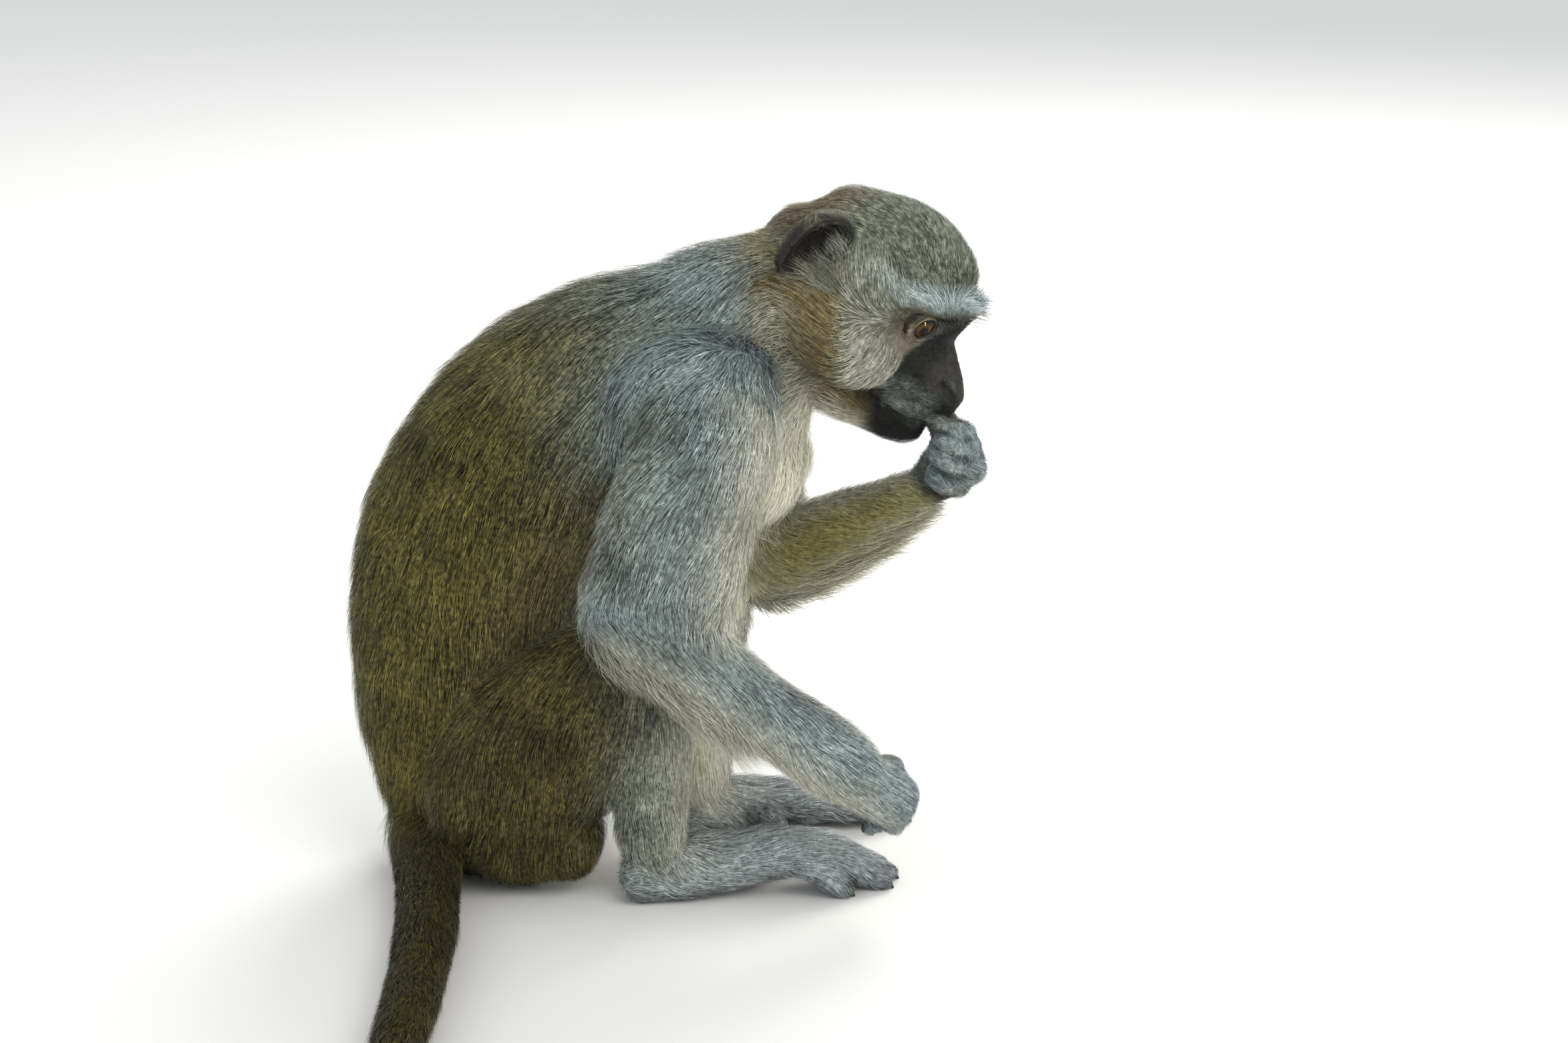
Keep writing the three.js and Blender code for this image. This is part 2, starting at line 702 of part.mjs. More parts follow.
addNode("trunk", "rump", "olive", [0, 0, 0], { shapes: torsoShapes, keep: [below(cuts.waist)] });
addNode("trunk", "abdomen", "olive", [-16, 0, 84], {
  shapes: torsoShapes,
  keep: [above(cuts.waist), below(cuts.ribs)],
});
addNode("trunk", "chest", "grey", [10, 0, 166], {
  shapes: torsoShapes,
  keep: [above(cuts.ribs), below(cuts.collar)],
  meets: [...headShapes, ...jawShapes],
});
addNode("head", "neck", "grey", cuts.collar.at, {
  shapes: torsoShapes,
  keep: [above(cuts.collar)],
  meets: [...headShapes, ...jawShapes],
});
addNode("head", "head", "olive", HEAD.at, {
  shapes: [...headShapes, ...lids],
  tufts: headLocks,
  clear: [...torsoShapes, ...jawShapes, ...ear("right").shapes, ...ear("left").shapes],
  cut: [...sockets, ...nostrils],
});
addNode("head", "jaw", "face", HEAD.at, { shapes: jawShapes, meets: headShapes });

["right", "left"].forEach((name) => {
  const made = ear(name);
  addNode("head", `${name}_ear`, "face", HEAD.at, {
    shapes: made.shapes,
    cut: made.cuts,
    meets: [...headShapes, ...torsoShapes],
  });
  addNode("head", `${name}_eye`, "eye", HEAD.at, {
    shapes: [ball(eyeCentre(name), [EYE.radius, EYE.radius, EYE.radius], inHead)],
  });
});

["right", "left"].forEach((name) => {
  const trunk = [...torsoShapes, ...headShapes];
  const palm = palmShape(name);
  addNode(`${name}_arm`, `${name}_upper_arm`, "grey", JOINT.shoulder[name], {
    shapes: upperArm[name],
    meets: trunk,
  });
  addNode(`${name}_arm`, `${name}_forearm`, "pale", JOINT.elbow[name], {
    shapes: forearm[name],
    tufts: forearmLocks(name),
    clear: [...trunk, ...upperArm[name], ...thigh[name], ...shin[name], palm],
    meets: [...trunk, ...upperArm[name]],
  });
  addNode(`${name}_arm`, `${name}_hand`, "grey", JOINT.wrist[name], {
    shapes: [palm],
    meets: [...forearm[name], ...jawShapes, ...headShapes],
  });
  const digits = [];
  fingerNames.forEach((finger, index) => {
    const shape = fingerShape(name, index);
    addNode(`${name}_arm`, `${name}_${finger}_finger`, "grey", JOINT.knuckles[name], {
      shapes: [shape],
      meets: [palm, ...forearm[name], ...digits, ...headShapes, ...jawShapes],
    });
    digits.push(shape);
  });
  addNode(`${name}_arm`, `${name}_thumb`, "grey", JOINT.wrist[name], {
    shapes: [thumbShape(name)],
    meets: [palm, ...forearm[name], ...digits, ...headShapes, ...jawShapes],
  });
});

["right", "left"].forEach((name) => {
  const arm = [...upperArm[name], ...forearm[name]];
  const foot = footShape(name);
  const opposite = name === "left" ? thigh.right : [];
  addNode(`${name}_leg`, `${name}_thigh`, "olive", JOINT.hip[name], {
    shapes: thigh[name],
    tufts: thighLocks(name),
    clear: [...torsoShapes, ...arm, ...shin[name], foot, ...tailShapes],
    meets: [...torsoShapes, ...arm, ...opposite],
  });
  addNode(`${name}_leg`, `${name}_shin`, "pale", JOINT.knee[name], {
    shapes: shin[name],
    meets: [...torsoShapes, ...arm, ...thigh[name]],
  });
  addNode(`${name}_leg`, `${name}_foot`, "grey", JOINT.ankle[name], {
    shapes: [foot],
    meets: [...shin[name], ...thigh[name]],
  });
  addNode(`${name}_leg`, `${name}_hallux`, "skin", JOINT.heel[name], {
    shapes: [halluxShape(name)],
    meets: [foot, ...shin[name]],
  });
  const toes = [];
  toeNames.forEach((toe, index) => {
    const shapes = toeShapes(name, index);
    addNode(`${name}_leg`, `${name}_${toe}_toe`, "grey", JOINT.heel[name], {
      shapes,
      meets: [foot, halluxShape(name), ...toes],
    });
    toes.push(...shapes);
  });
});

[0, 1, 2, 3].forEach((index) => {
  addNode("tail", `tail_${index + 1}`, "olive", tailPath[index * 3].slice(0, 3), {
    shapes: tailShapes,
    keep: tailLength(index),
    meets: index ? [] : [...torsoShapes, ...thigh.right, ...thigh.left],
  });
});

export default root;
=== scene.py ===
import json
import math

import bmesh
import bpy
import numpy as np
from mathutils import Matrix, Vector
from mathutils.kdtree import KDTree

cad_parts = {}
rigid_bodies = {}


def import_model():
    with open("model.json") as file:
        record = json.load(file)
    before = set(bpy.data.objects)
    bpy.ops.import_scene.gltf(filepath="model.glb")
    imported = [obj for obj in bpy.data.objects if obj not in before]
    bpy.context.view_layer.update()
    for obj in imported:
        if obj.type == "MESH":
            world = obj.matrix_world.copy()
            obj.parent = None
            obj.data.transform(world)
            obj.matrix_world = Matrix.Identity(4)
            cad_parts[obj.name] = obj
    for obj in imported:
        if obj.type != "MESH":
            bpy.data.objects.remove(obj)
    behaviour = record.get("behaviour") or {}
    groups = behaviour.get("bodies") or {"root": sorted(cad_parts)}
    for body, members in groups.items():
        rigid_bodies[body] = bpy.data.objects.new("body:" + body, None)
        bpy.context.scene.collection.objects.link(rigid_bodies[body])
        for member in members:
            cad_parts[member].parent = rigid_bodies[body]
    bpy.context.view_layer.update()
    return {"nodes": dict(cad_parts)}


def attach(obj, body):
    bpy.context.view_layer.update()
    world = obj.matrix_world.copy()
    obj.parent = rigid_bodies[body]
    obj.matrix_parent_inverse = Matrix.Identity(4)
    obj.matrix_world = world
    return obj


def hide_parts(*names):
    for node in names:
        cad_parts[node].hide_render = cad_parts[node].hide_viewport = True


# a sitting vervet monkey: one skin, its coat in fine strands, eyes, lids, claws and whiskers
# places and sizes are in millimetres in the dictionaries, and in metres once they are mesh

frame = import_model()
mm = 0.001
random = np.random.default_rng(4107)
sideOf = {"right": -1, "left": 1}


def smooth(low, high, value):
    share = np.clip((value - low) / (high - low), 0, 1)
    return share * share * (3 - 2 * share)


def unit(vectors):
    return vectors / np.maximum(np.linalg.norm(vectors, axis=-1, keepdims=True), 1e-9)


# the body in lengths: x, y, z, half width, half depth of the outside of the coat

head = {
    "at": (163, 0, 272),
    "pitch": 35,
    "yaw": -12,
}
headPlace = (
    Matrix.Translation(head["at"])
    @ Matrix.Rotation(math.radians(head["yaw"]), 4, "Z")
    @ Matrix.Rotation(math.radians(head["pitch"]), 4, "Y")
)

trunk = {
    "torso": {
        "stations": [(-9, 0, 22, 43, 43), (-15, 0, 48, 47, 49), (-18, 0, 80, 47, 54),
                     (-14, 0, 118, 49, 60), (2, 0, 158, 53, 69.5), (35, 0, 203, 54, 68.5),
                     (82, 0, 228, 50, 64), (108, 0, 248, 42, 53), (128, 0, 259, 38, 48),
                     (148, -1, 263, 34, 41)],
        "coat": 7.5, "hair": 19, "lift": 0.3, "lie": (-1, 0, 0, -0.85),
    },
    "chestFront": {
        "stations": [(96, 0, 196, 36, 38), (112, 0, 200, 37, 38), (124, 0, 205, 28, 30)],
        "coat": 8, "hair": 23, "lift": 0.3, "lie": (0, -0.2, 0, -1),
    },
    "rightShoulder": {
        "stations": [(58, -33, 214, 20, 24), (78, -38, 226, 25, 36), (100, -44, 237, 24, 30),
                     (118, -44, 238, 17, 22)],
        "coat": 6.5, "hair": 18, "lift": 0.3, "lie": (-0.2, -0.5, 0, -1),
    },
    "leftShoulder": {
        "stations": [(62, 33, 210, 20, 24), (84, 38, 222, 25, 36), (106, 43, 232, 24, 30),
                     (122, 42, 232, 17, 20)],
        "coat": 6.5, "hair": 18, "lift": 0.3, "lie": (-0.2, -0.5, 0, -1),
    },
}

arms = {
    "rightUpperArm": {
        "stations": [(100, -55, 229, 25, 33), (89, -68, 200, 23, 35), (79.5, -80, 168, 20, 36.5),
                     (73.5, -86, 150, 18, 38.5)],
        "coat": 6, "hair": 16, "lift": 0.3, "lie": (1, -0.25, 0, -0.3),
    },
    "leftUpperArm": {
        "stations": [(112, 50, 216, 23, 33), (115, 57, 184, 22, 27), (116, 61, 155, 21, 25),
                     (114, 63, 130, 20, 23)],
        "coat": 6, "hair": 16, "lift": 0.3, "lie": (1, -0.25, 0, -0.3),
    },
    "rightForearm": {
        "stations": [(50, -91, 150, 17, 14.5), (75.5, -90, 137, 19, 18.5),
                     (100, -87, 120, 18.5, 19), (119, -84, 104.5, 17, 18.5),
                     (140, -79, 86.5, 16.5, 20), (160, -76, 70.5, 16.5, 19)],
        "coat": 4, "hair": 11, "lift": 0.27, "lie": (1, 0, 0, -0.25),
    },
    "leftForearm": {
        "stations": [(116, 62, 126, 20, 23), (146, 46, 145, 18, 21), (170, 32, 161, 15, 16),
                     (190, 19, 175, 12.5, 12.5), (197, 15, 180, 12, 12)],
        "coat": 4, "hair": 11, "lift": 0.27, "lie": (1, 0, 0, -0.35),
    },
}

legs = {
    "rightThigh": {
        "stations": [(-4, -36, 36, 30, 38), (16, -47, 68, 31, 42), (42, -56, 99, 27, 37),
                     (64, -60, 120, 21, 27)],
        "coat": 6, "hair": 16, "lift": 0.3, "lie": (-0.25, -0.2, 0, -1),
    },
    "leftThigh": {
        "stations": [(-4, 36, 36, 30, 38), (20, 43, 68, 29, 40), (54, 47, 99, 25, 34),
                     (82, 48, 118, 21, 26)],
        "coat": 6, "hair": 16, "lift": 0.3, "lie": (-0.25, -0.2, 0, -1),
    },
    "rightSeat": {
        "stations": [(-12, -37, 32, 20, 25), (12, -37, 33, 27, 33), (36, -43, 25, 18, 22)],
        "coat": 5.5, "hair": 15, "lift": 0.3, "lie": (0.3, 0, 0, -1),
    },
    "leftSeat": {
        "stations": [(-12, 36, 32, 20, 25), (14, 36, 33, 27, 33), (42, 36, 25, 18, 22)],
        "coat": 5.5, "hair": 15, "lift": 0.3, "lie": (0.3, 0, 0, -1),
    },
    "rightShin": {
        "stations": [(71, -60, 122, 19, 23), (71, -59, 98, 19, 21.5), (70, -57, 68, 16.5, 20),
                     (69, -55, 40, 13.5, 19), (69, -53, 25, 12, 17)],
        "coat": 4, "hair": 11, "lift": 0.27, "lie": (1, 0.1, 0, 0),
    },
    "leftShin": {
        "stations": [(93, 48, 120, 19, 23), (93, 46, 98, 18, 21), (92, 43, 68, 15.5, 18.5),
                     (90, 37, 40, 13, 17.5), (89, 34, 22, 12, 16)],
        "coat": 4, "hair": 11, "lift": 0.27, "lie": (1, 0.1, 0, 0),
    },
}

tail = {
    "tail": {
        "stations": [(-33, 4, 23, 17, 21), (-37, -22, 18, 18, 18.4), (-32, -62, 16, 17, 16.4),
                     (-27, -110, 15.4, 16, 15.8), (-25, -165, 14.6, 15, 15),
                     (-26, -234, 13.2, 13.6, 13.6), (-31, -320, 12.1, 12.4, 12.5),
                     (-44, -400, 11, 11.4, 11.4), (-64, -465, 10, 10.4, 10.4), (-84, -512, 9, 9, 9.4)],
        "across": (0.98, 0, 0.2), "coat": 4, "hair": 12, "lift": 0.24, "lie": (1, 0, 0, -0.1),
    },
}


def mirrored(stations):
    return [(x, -y, *rest) for x, y, *rest in stations]


def acrossFace(stations):
    # from the right side to the middle, and on to the left
    return stations + mirrored(stations[-2::-1])


# the head is laid out forwards, to its left and up from between the ears
headParts = {
    "skull": {
        "stations": [(-37.5, 0, -1.5, 24, 22.5), (-26, 0, 0.5, 31, 35), (-12, 0, 4.5, 36, 42),
                     (6, 0, 7, 35.5, 47), (20, 0, 6.5, 30.5, 44.5), (31, 0, 4, 22, 37),
                     (40, 0, 2.5, 15, 29)],
        "coat": 4, "hair": 9, "lift": 0.32,
    },
    "muzzle": {
        "stations": [(22, 0, -9, 27, 24), (36, 0, -10.5, 21, 20), (48, 0, -12, 17, 16),
                     (57, 0, -13.5, 14, 12), (62, 0, -14, 11.5, 8.5)],
        "coat": 0.9, "hair": 3, "lift": 0.3,
    },
    "jaw": {
        "stations": [(4, 0, -36, 26, 17), (22, 0, -37, 22, 15), (38, 0, -37, 17.5, 12.5),
                     (50, 0, -35.5, 13.5, 10.5), (56, 0, -33, 10.5, 9)],
        "coat": 2, "hair": 8, "lift": 0.35,
    },
    "lip": {
        "stations": acrossFace([(38, -16, -27, 3.4, 3), (50, -12.5, -25, 3.6, 3.1),
                                (58.5, -7, -22.5, 3.6, 3.2), (61.5, 0, -21.5, 3.4, 3.2)]),
        "across": (0, 0, 1), "coat": 0.5, "hair": 3, "lift": 0.3,
    },
    "brow": {
        "stations": acrossFace([(15, -27, 16, 7, 6), (31, -20.5, 21, 7, 6.5), (40.5, -11, 23.5, 8, 7),
                                (43.5, 0, 23.5, 8.5, 7.5)]),
        "across": (0, 0, 1), "coat": 3.2, "hair": 11, "lift": 0.4,
    },
    "nose": {
        "stations": [(42, 0, 5, 6, 7), (51, 0, -1, 5.6, 5.4), (58, 0, -6.5, 6.2, 5),
                     (60.5, 0, -9.5, 7.4, 5)],
        "coat": 0.5, "hair": 2.2, "lift": 0.25,
    },
    "rightCheek": {
        "stations": [(28, -19.5, -15, 9, 11), (12, -24.5, -15, 11.5, 17), (-6, -26, -14, 12.5, 22),
                     (-22, -23, -9, 11.5, 18)],
        "coat": 2, "hair": 20, "lift": 0.42,
    },
}
cheek = headParts["rightCheek"]
headParts["leftCheek"] = {**cheek, "stations": mirrored(cheek["stations"])}

# each hand is a curled fist; reach is how far forward each knuckle stands, from the first finger on
hands = {
    "right": {
        "wrist": (162, -75, 67), "knuckles": (182.5, -68, 53), "palm": 13, "broad": 0.68,
        "across": (-0.05, 0.1, 0.99), "spacing": 7.4,
        "first": (-0.1, 0.93, -0.25), "curl": (78, 72), "bones": (15, 10, 7.5),
        "thumb": [(166, -65, 63, 6.5, 6.5), (175, -54, 66, 6, 6), (180, -46, 62, 5, 5),
                  (176, -42, 56, 4.4, 4.4)],
        "comb": (0.75, 0, -0.65), "reach": (0, 2.5, 1.5, -2),
    },
    "left": {
        "wrist": (198, 14, 182.5), "knuckles": (215.5, -12, 200.5), "palm": 9.5, "broad": 0.66,
        "across": (0.02, -0.05, 1), "spacing": 7.9,
        "first": (-0.78, -0.5, 0.3), "curl": (-105, -75), "bones": (15, 11, 8),
        "thumb": [(196, 10, 188, 6, 6), (200, 8, 197, 5.6, 5.6), (206, 3, 203, 5, 5),
                  (210, -4, 205, 4.2, 4.2)],
        "comb": (0.72, -0.45, -0.42), "reach": (-3.5, 1.5, -1, -8),
    },
}
finger = {"thick": 6, "tip": 4.2, "length": (0.94, 1.06, 1, 0.8)}

# feet are laid out forwards, inwards and up from the heel
feet = {
    "right": {
        "heel": (54, -53, -1.2), "turn": 6,
        "sole": [(7, 0, 11.5, 12, 12), (25, 1, 17, 13, 16.5), (50, 2, 18, 13.5, 13.5),
                 (73, 5, 19.5, 15.5, 11.5), (90, 7, 19, 17.5, 9.5)],
        "hallux": [(54, 15, 13, 8, 7.5), (68, 26, 10.5, 7, 6.8), (82, 33, 7, 6.4, 6.2)],
        "roots": [(90, 19, 18), (93, 10.5, 19), (91, 1.5, 18), (86, -6, 16)],
        "tips": [(124, 23, 4.3), (127, 13, 4.3), (123, 2, 4.3), (104, -6, 4.3)],
    },
    "left": {
        "heel": (75, 31, -0.9), "turn": 17,
        "sole": [(7, 0, 11, 12, 11.5), (25, 1, 13.5, 13, 14), (50, 3, 12, 14, 11.5),
                 (72, 6, 12, 15.5, 9.5), (86, 8, 12, 17, 8.5)],
        "hallux": [(38, 8, 12.5, 8, 7.5), (44, 18, 9.5, 7.2, 7), (47, 26, 6.2, 6.4, 6.3)],
        "roots": [(86, 20, 12), (89, 11.5, 13), (87, 2.5, 12), (81, -5, 11)],
        "tips": [(112, 19, 4), (116, 9, 4), (112, -2, 4), (101, -9, 4)],
    },
}
# along a toe and a palm: share of the way, and for a toe its rise
# then half width and half depth; a palm's depth is what it adds to the hand's own
toe = ((-0.12, 0, 6.2, 6.2), (0.35, 2, 6.2, 6.2), (0.7, 0, 5.4, 5.2), (1, 0, 4.3, 4.3))
palm = ((0, 13, 1), (0.45, 16, 0), (0.85, 19, -1.5), (1, 19, -3))
# skin below the coat, length of hair and how far it stands off
cover = {
    "Palm": (2.4, 8.5, 0.24), "Finger": (1.3, 5.5, 0.22), "Thumb": (1.3, 5, 0.22),
    "Sole": (2.2, 12, 0.26), "Hallux": (0.9, 3, 0.3), "Toe": (1.1, 8, 0.26),
}


def fingerStations(name, index):
    hand = hands[name]
    axis = Vector(hand["across"]).normalized()
    along = (Vector(hand["knuckles"]) - Vector(hand["wrist"])).normalized()
    bend = Vector(hand["first"]).normalized()
    at = Vector(hand["knuckles"]) + axis * hand["spacing"] * (1.5 - index)
    at = at + along * (hand["reach"][index] - 3)
    stations = [(*at, finger["thick"], finger["thick"])]
    for joint, bone in enumerate(hand["bones"]):
        if joint:
            bend = Matrix.Rotation(math.radians(hand["curl"][joint - 1]), 3, axis) @ bend
        at = at + bend * bone * finger["length"][index]
        thick = finger["thick"] + (finger["tip"] - finger["thick"]) * (joint + 1) / 3
        stations.append((*at, thick, thick))
    return stations


def palmStations(name):
    hand = hands[name]
    wrist, knuckles = Vector(hand["wrist"]), Vector(hand["knuckles"])
    stations = []
    for share, wide, more in palm:
        wide = wide + (hand["broad"] - 1) * wide * share
        stations.append((*wrist.lerp(knuckles, share), wide, hand["palm"] + more))
    return stations


def footPlace(name):
    foot = feet[name]
    return Matrix.Translation(foot["heel"]) @ Matrix.Rotation(math.radians(foot["turn"]), 4, "Z")


def inward(stations, name):
    return [(x, -y * sideOf[name], *rest) for x, y, *rest in stations]


def toeStations(name, index):
    start, end = Vector(feet[name]["roots"][index]), Vector(feet[name]["tips"][index])
    stations = []
    for share, rise, wide, deep in toe:
        stations.append((*(start.lerp(end, share) + Vector((0, 0, rise))), wide, deep))
    return inward(stations, name)


def throughStations(stations, steps):
    # a smooth path through the stations, with a few rings to each gap
    p = np.array(stations, float)
    p = np.vstack([2 * p[0] - p[1], p, 2 * p[-1] - p[-2]])
    rows = []
    for i in range(1, len(p) - 2):
        for s in np.arange(steps) / steps:
            rows.append(0.5 * (2 * p[i] + (p[i + 1] - p[i - 1]) * s
                               + (2 * p[i - 1] - 5 * p[i] + 4 * p[i + 1] - p[i + 2]) * s ** 2
                               + (3 * p[i] - p[i - 1] - 3 * p[i + 1] + p[i + 2]) * s ** 3))
    rows.append(p[-2])
    return np.array(rows)


class Limb:
    # one rounded length of the body, and the coat that grows on it
    def __init__(self, name, stations, across=(0, 1, 0), coat=2, hair=6, lift=0.35, lie=(1, 0, 0, 0),
                 place=None, steps=5):
        path = throughStations(stations, steps)
        self.name, self.coat, self.hair, self.lift, self.lie = name, coat, hair, lift, lie
        place = np.array(place or Matrix.Identity(4))
        self.centre = (path[:, :3] @ place[:3, :3].T + place[:3, 3]) * mm
        self.wide, self.deep = path[:, 3] * mm, path[:, 4] * mm
        self.within = [np.maximum(size - coat * mm, mm) for size in (self.wide, self.deep)]
        self.tangent = unit(np.gradient(self.centre, axis=0))
        across = np.array(across, float) @ place[:3, :3].T
        self.sideways = unit(across - self.tangent * (self.tangent @ across)[:, None])
        self.upward = np.cross(self.tangent, self.sideways)
        self.spacing = np.linalg.norm(self.centre[1:] - self.centre[:-1], axis=1).mean()

    def ring(self, i, share=1, shift=0):
        # the placing of a unit circle as ring i of the skin, which lies under the coat
        wide, deep = (size[i] * share for size in self.within)
        at = self.centre[i] + self.tangent[i] * shift
        columns = (self.sideways[i] * wide, self.upward[i] * deep, self.tangent[i] * mm, at)
        return Matrix([[*(c[row] for c in columns)] for row in range(3)] + [[0, 0, 0, 1]])

    def dome(self, i, bulge):
        size = min(self.wide[i], self.deep[i]) - self.coat * mm
        turns = [math.radians(degrees) for degrees in (15, 40, 65)]
        return [self.ring(i, math.sin(turn), size * bulge * math.cos(turn)) for turn in turns]

    def rings(self, domes=(0.6, 0.6)):
        last = len(self.centre) - 1
        return (self.dome(0, -domes[0]) + [self.ring(i) for i in range(last + 1)]
                + self.dome(last, domes[1])[::-1])

    def measure(self, points):
        # how far each point is from this limb's skin, and where on it
        best = np.full(len(points), 1e9)
        where = np.zeros(len(points), int)
        for i in range(len(self.centre)):
            off = points - self.centre[i]
            wide, deep = self.within[0][i], self.within[1][i]
            axial = np.maximum(np.abs(off @ self.tangent[i]) - self.spacing * 0.5, 0) / min(wide, deep)
            side, up = off @ self.sideways[i] / wide, off @ self.upward[i] / deep
            gap = (np.sqrt(side ** 2 + up ** 2 + axial ** 2) - 1) * (wide + deep) / 2
            closer = gap < best
            best[closer], where[closer] = gap[closer], i
        off = points - self.centre[where]
        side = np.einsum("ij,ij->i", off, self.sideways[where]) / self.wide[where]
        up = np.einsum("ij,ij->i", off, self.upward[where]) / self.deep[where]
        turn = np.arctan2(up, side)
        return best, where / (len(self.centre) - 1), turn, self.tangent[where]


def tube(bm, rings, segments=28):
    # a closed length: a circle drawn out from ring to ring
    made = bmesh.ops.create_circle(bm, cap_ends=True, segments=segments, radius=1, matrix=rings[0])
    edges = list({e for v in made["verts"] for e in v.link_edges})
    for before, after in zip(rings, rings[1:]):
        drawn = bmesh.ops.extrude_edge_only(bm, edges=edges)["geom"]
        verts = [g for g in drawn if isinstance(g, bmesh.types.BMVert)]
        new = set(verts)
        edges = [g for g in drawn if isinstance(g, bmesh.types.BMEdge) and new.issuperset(g.verts)]
        bmesh.ops.transform(bm, matrix=after @ before.inverted(), verts=verts)
    bmesh.ops.edgeloop_fill(bm, edges=edges)
    return verts


def meshObject(name, bm):
    bmesh.ops.recalc_face_normals(bm, faces=bm.faces)
    mesh = bpy.data.meshes.new(name)
    bm.to_mesh(mesh)
    bm.free()
    made = bpy.data.objects.new(name, mesh)
    bpy.context.scene.collection.objects.link(made)
    return made


def applied(piece):
    # the piece's modifiers become its mesh
    graph = bpy.context.evaluated_depsgraph_get()
    mesh = bpy.data.meshes.new_from_object(piece.evaluated_get(graph))
    piece.modifiers.clear()
    piece.data = mesh
    return piece


def remeshed(piece, voxel, rounds):
    melt = piece.modifiers.new("melt", "REMESH")
    melt.mode, melt.voxel_size, melt.use_smooth_shade = "VOXEL", voxel, True
    soften = piece.modifiers.new("soften", "SMOOTH")
    soften.factor, soften.iterations = 0.5, rounds
    return applied(piece)


limbs = []
for parts in (trunk, arms, legs, tail):
    limbs += [Limb(name, **part) for name, part in parts.items()]
bodyCount = len(limbs)
for name, part in headParts.items():
    limbs.append(Limb(name, place=headPlace, **part))
for name in ("right", "left"):
    across, forwards, sideways = hands[name]["across"], (1, 0, 0), (0, 1, 0)
    foot, place = feet[name], footPlace(name)
    pieces = [("Palm", "", palmStations(name), across, None)]
    pieces += [("Finger", index, fingerStations(name, index), across, None) for index in range(4)]
    pieces += [("Thumb", "", hands[name]["thumb"], forwards, None),
               ("Sole", "", inward(foot["sole"], name), sideways, place),
               ("Hallux", "", inward(foot["hallux"], name), sideways, place)]
    pieces += [("Toe", index, toeStations(name, index), sideways, place) for index in range(4)]
    for kind, index, stations, across, place in pieces:
        limbs.append(Limb(f"{name}{kind}{index}", stations, across, *cover[kind], place=place))
limbNames = [limb.name for limb in limbs]
print("lengths of the body:", len(limbs))


ear = {
    "forward": -26.5, "out": 38, "up": {"right": 16, "left": 8}, "half": (12.2, 19), "tilt": 30,
    # from the back of the cup out to its rim and into its hollow: place outwards, share of the size
    "cup": [(-8.5, 0.3), (-6.5, 0.62), (-3.5, 0.86), (0, 0.96), (3.5, 1), (6.5, 1), (7.9, 0.96),
            (7.7, 0.91), (5, 0.87), (1, 0.83), (-2.5, 0.7), (-4.6, 0.42), (-5.2, 0.15)],
    "corner": (128, 0.12),  # the way round to its blunt upper corner, and how far that stands out
    "held": (-48, 0.75),    # the way round to where its rim sinks to the head, and how far
    "ridge": (0.55, 2.6),   # the fold inside the hollow: share of the size, height
}


def earPlace(name):
    side = sideOf[name]
    turn = (Matrix.Rotation(math.radians(8 * side), 4, "X")
            @ Matrix.Rotation(math.radians(14), 4, "Y")
            @ Matrix.Rotation(math.radians(-ear["tilt"] * side), 4, "Z"))
    return headPlace @ Matrix.Translation((ear["forward"], ear["out"] * side, ear["up"][name])) @ turn


def addEar(bm, name):
    place, side = earPlace(name), sideOf[name]
    rings = []
    for out, share in ear["cup"]:
        forward = 2 * smooth(3, -3, out) * (share < 0.85 and out < 7)
        shape = Matrix([[ear["half"][0] * share, 0, 0, forward], [0, 0, side, out * side],
                        [0, ear["half"][1] * share, 0, 0], [0, 0, 0, 1]])
        rings.append(Matrix.Scale(mm, 4) @ place @ shape)
    tube(bm, rings, 36)


skin = {"body": 0.0028, "bodySoft": 9, "whole": 0.0014, "wholeSoft": 2, "most": 186000}

bm = bmesh.new()
for limb in limbs[:bodyCount]:
    tube(bm, limb.rings())
body = remeshed(meshObject("skin_body", bm), skin["body"], skin["bodySoft"])
bm = bmesh.new()
for limb in limbs[bodyCount:]:
    tube(bm, limb.rings())
for name in ("right", "left"):
    addEar(bm, name)
bmesh.ops.recalc_face_normals(bm, faces=bm.faces)
bm.from_mesh(body.data)
monkeySkin = meshObject("skin", bm)
remeshed(monkeySkin, skin["whole"], skin["wholeSoft"])
bpy.data.objects.remove(body)
count = sum(len(p.vertices) - 2 for p in monkeySkin.data.polygons)
thin = monkeySkin.modifiers.new("thin", "DECIMATE")
thin.ratio = min(1, skin["most"] / count)
applied(monkeySkin)
print("skin:", count, "triangles, thinned to", len(monkeySkin.data.polygons))


def readOut(items, field, size, kind=float):
    values = np.empty(len(items) * size, kind)
    items.foreach_get(field, values)
    return values.reshape(-1, size)


def inHead(points):
    back = np.array(headPlace.inverted())
    return points / mm @ back[:3, :3].T + back[:3, 3]


def outOfHead(points):
    place = np.array(headPlace)
    return (points @ place[:3, :3].T + place[:3, 3]) * mm


eye = {"forward": 27.8, "out": 15.5, "up": 11.2, "radius": 9, "aside": 36, "down": 4}


def eyeFrame(name, aside=eye["aside"], down=eye["down"]):
    # in the head: the middle of the eye, and the ways outwards, to the outer corner and up
    side = sideOf[name]
    yaw, pitch = math.radians(aside * side), math.radians(down)
    out = Vector((math.cos(yaw) * math.cos(pitch), math.sin(yaw) * math.cos(pitch), -math.sin(pitch)))
    corner = Vector((-math.sin(yaw), math.cos(yaw), 0)) * side
    up = out.cross(corner) * side
    return Vector((eye["forward"], eye["out"] * side, eye["up"])), out, corner, up


lids = {"half": (6.8, 6.2, 5.8), "tilt": -2, "pocket": 7.8, "hairs": 900, "lashes": 26}
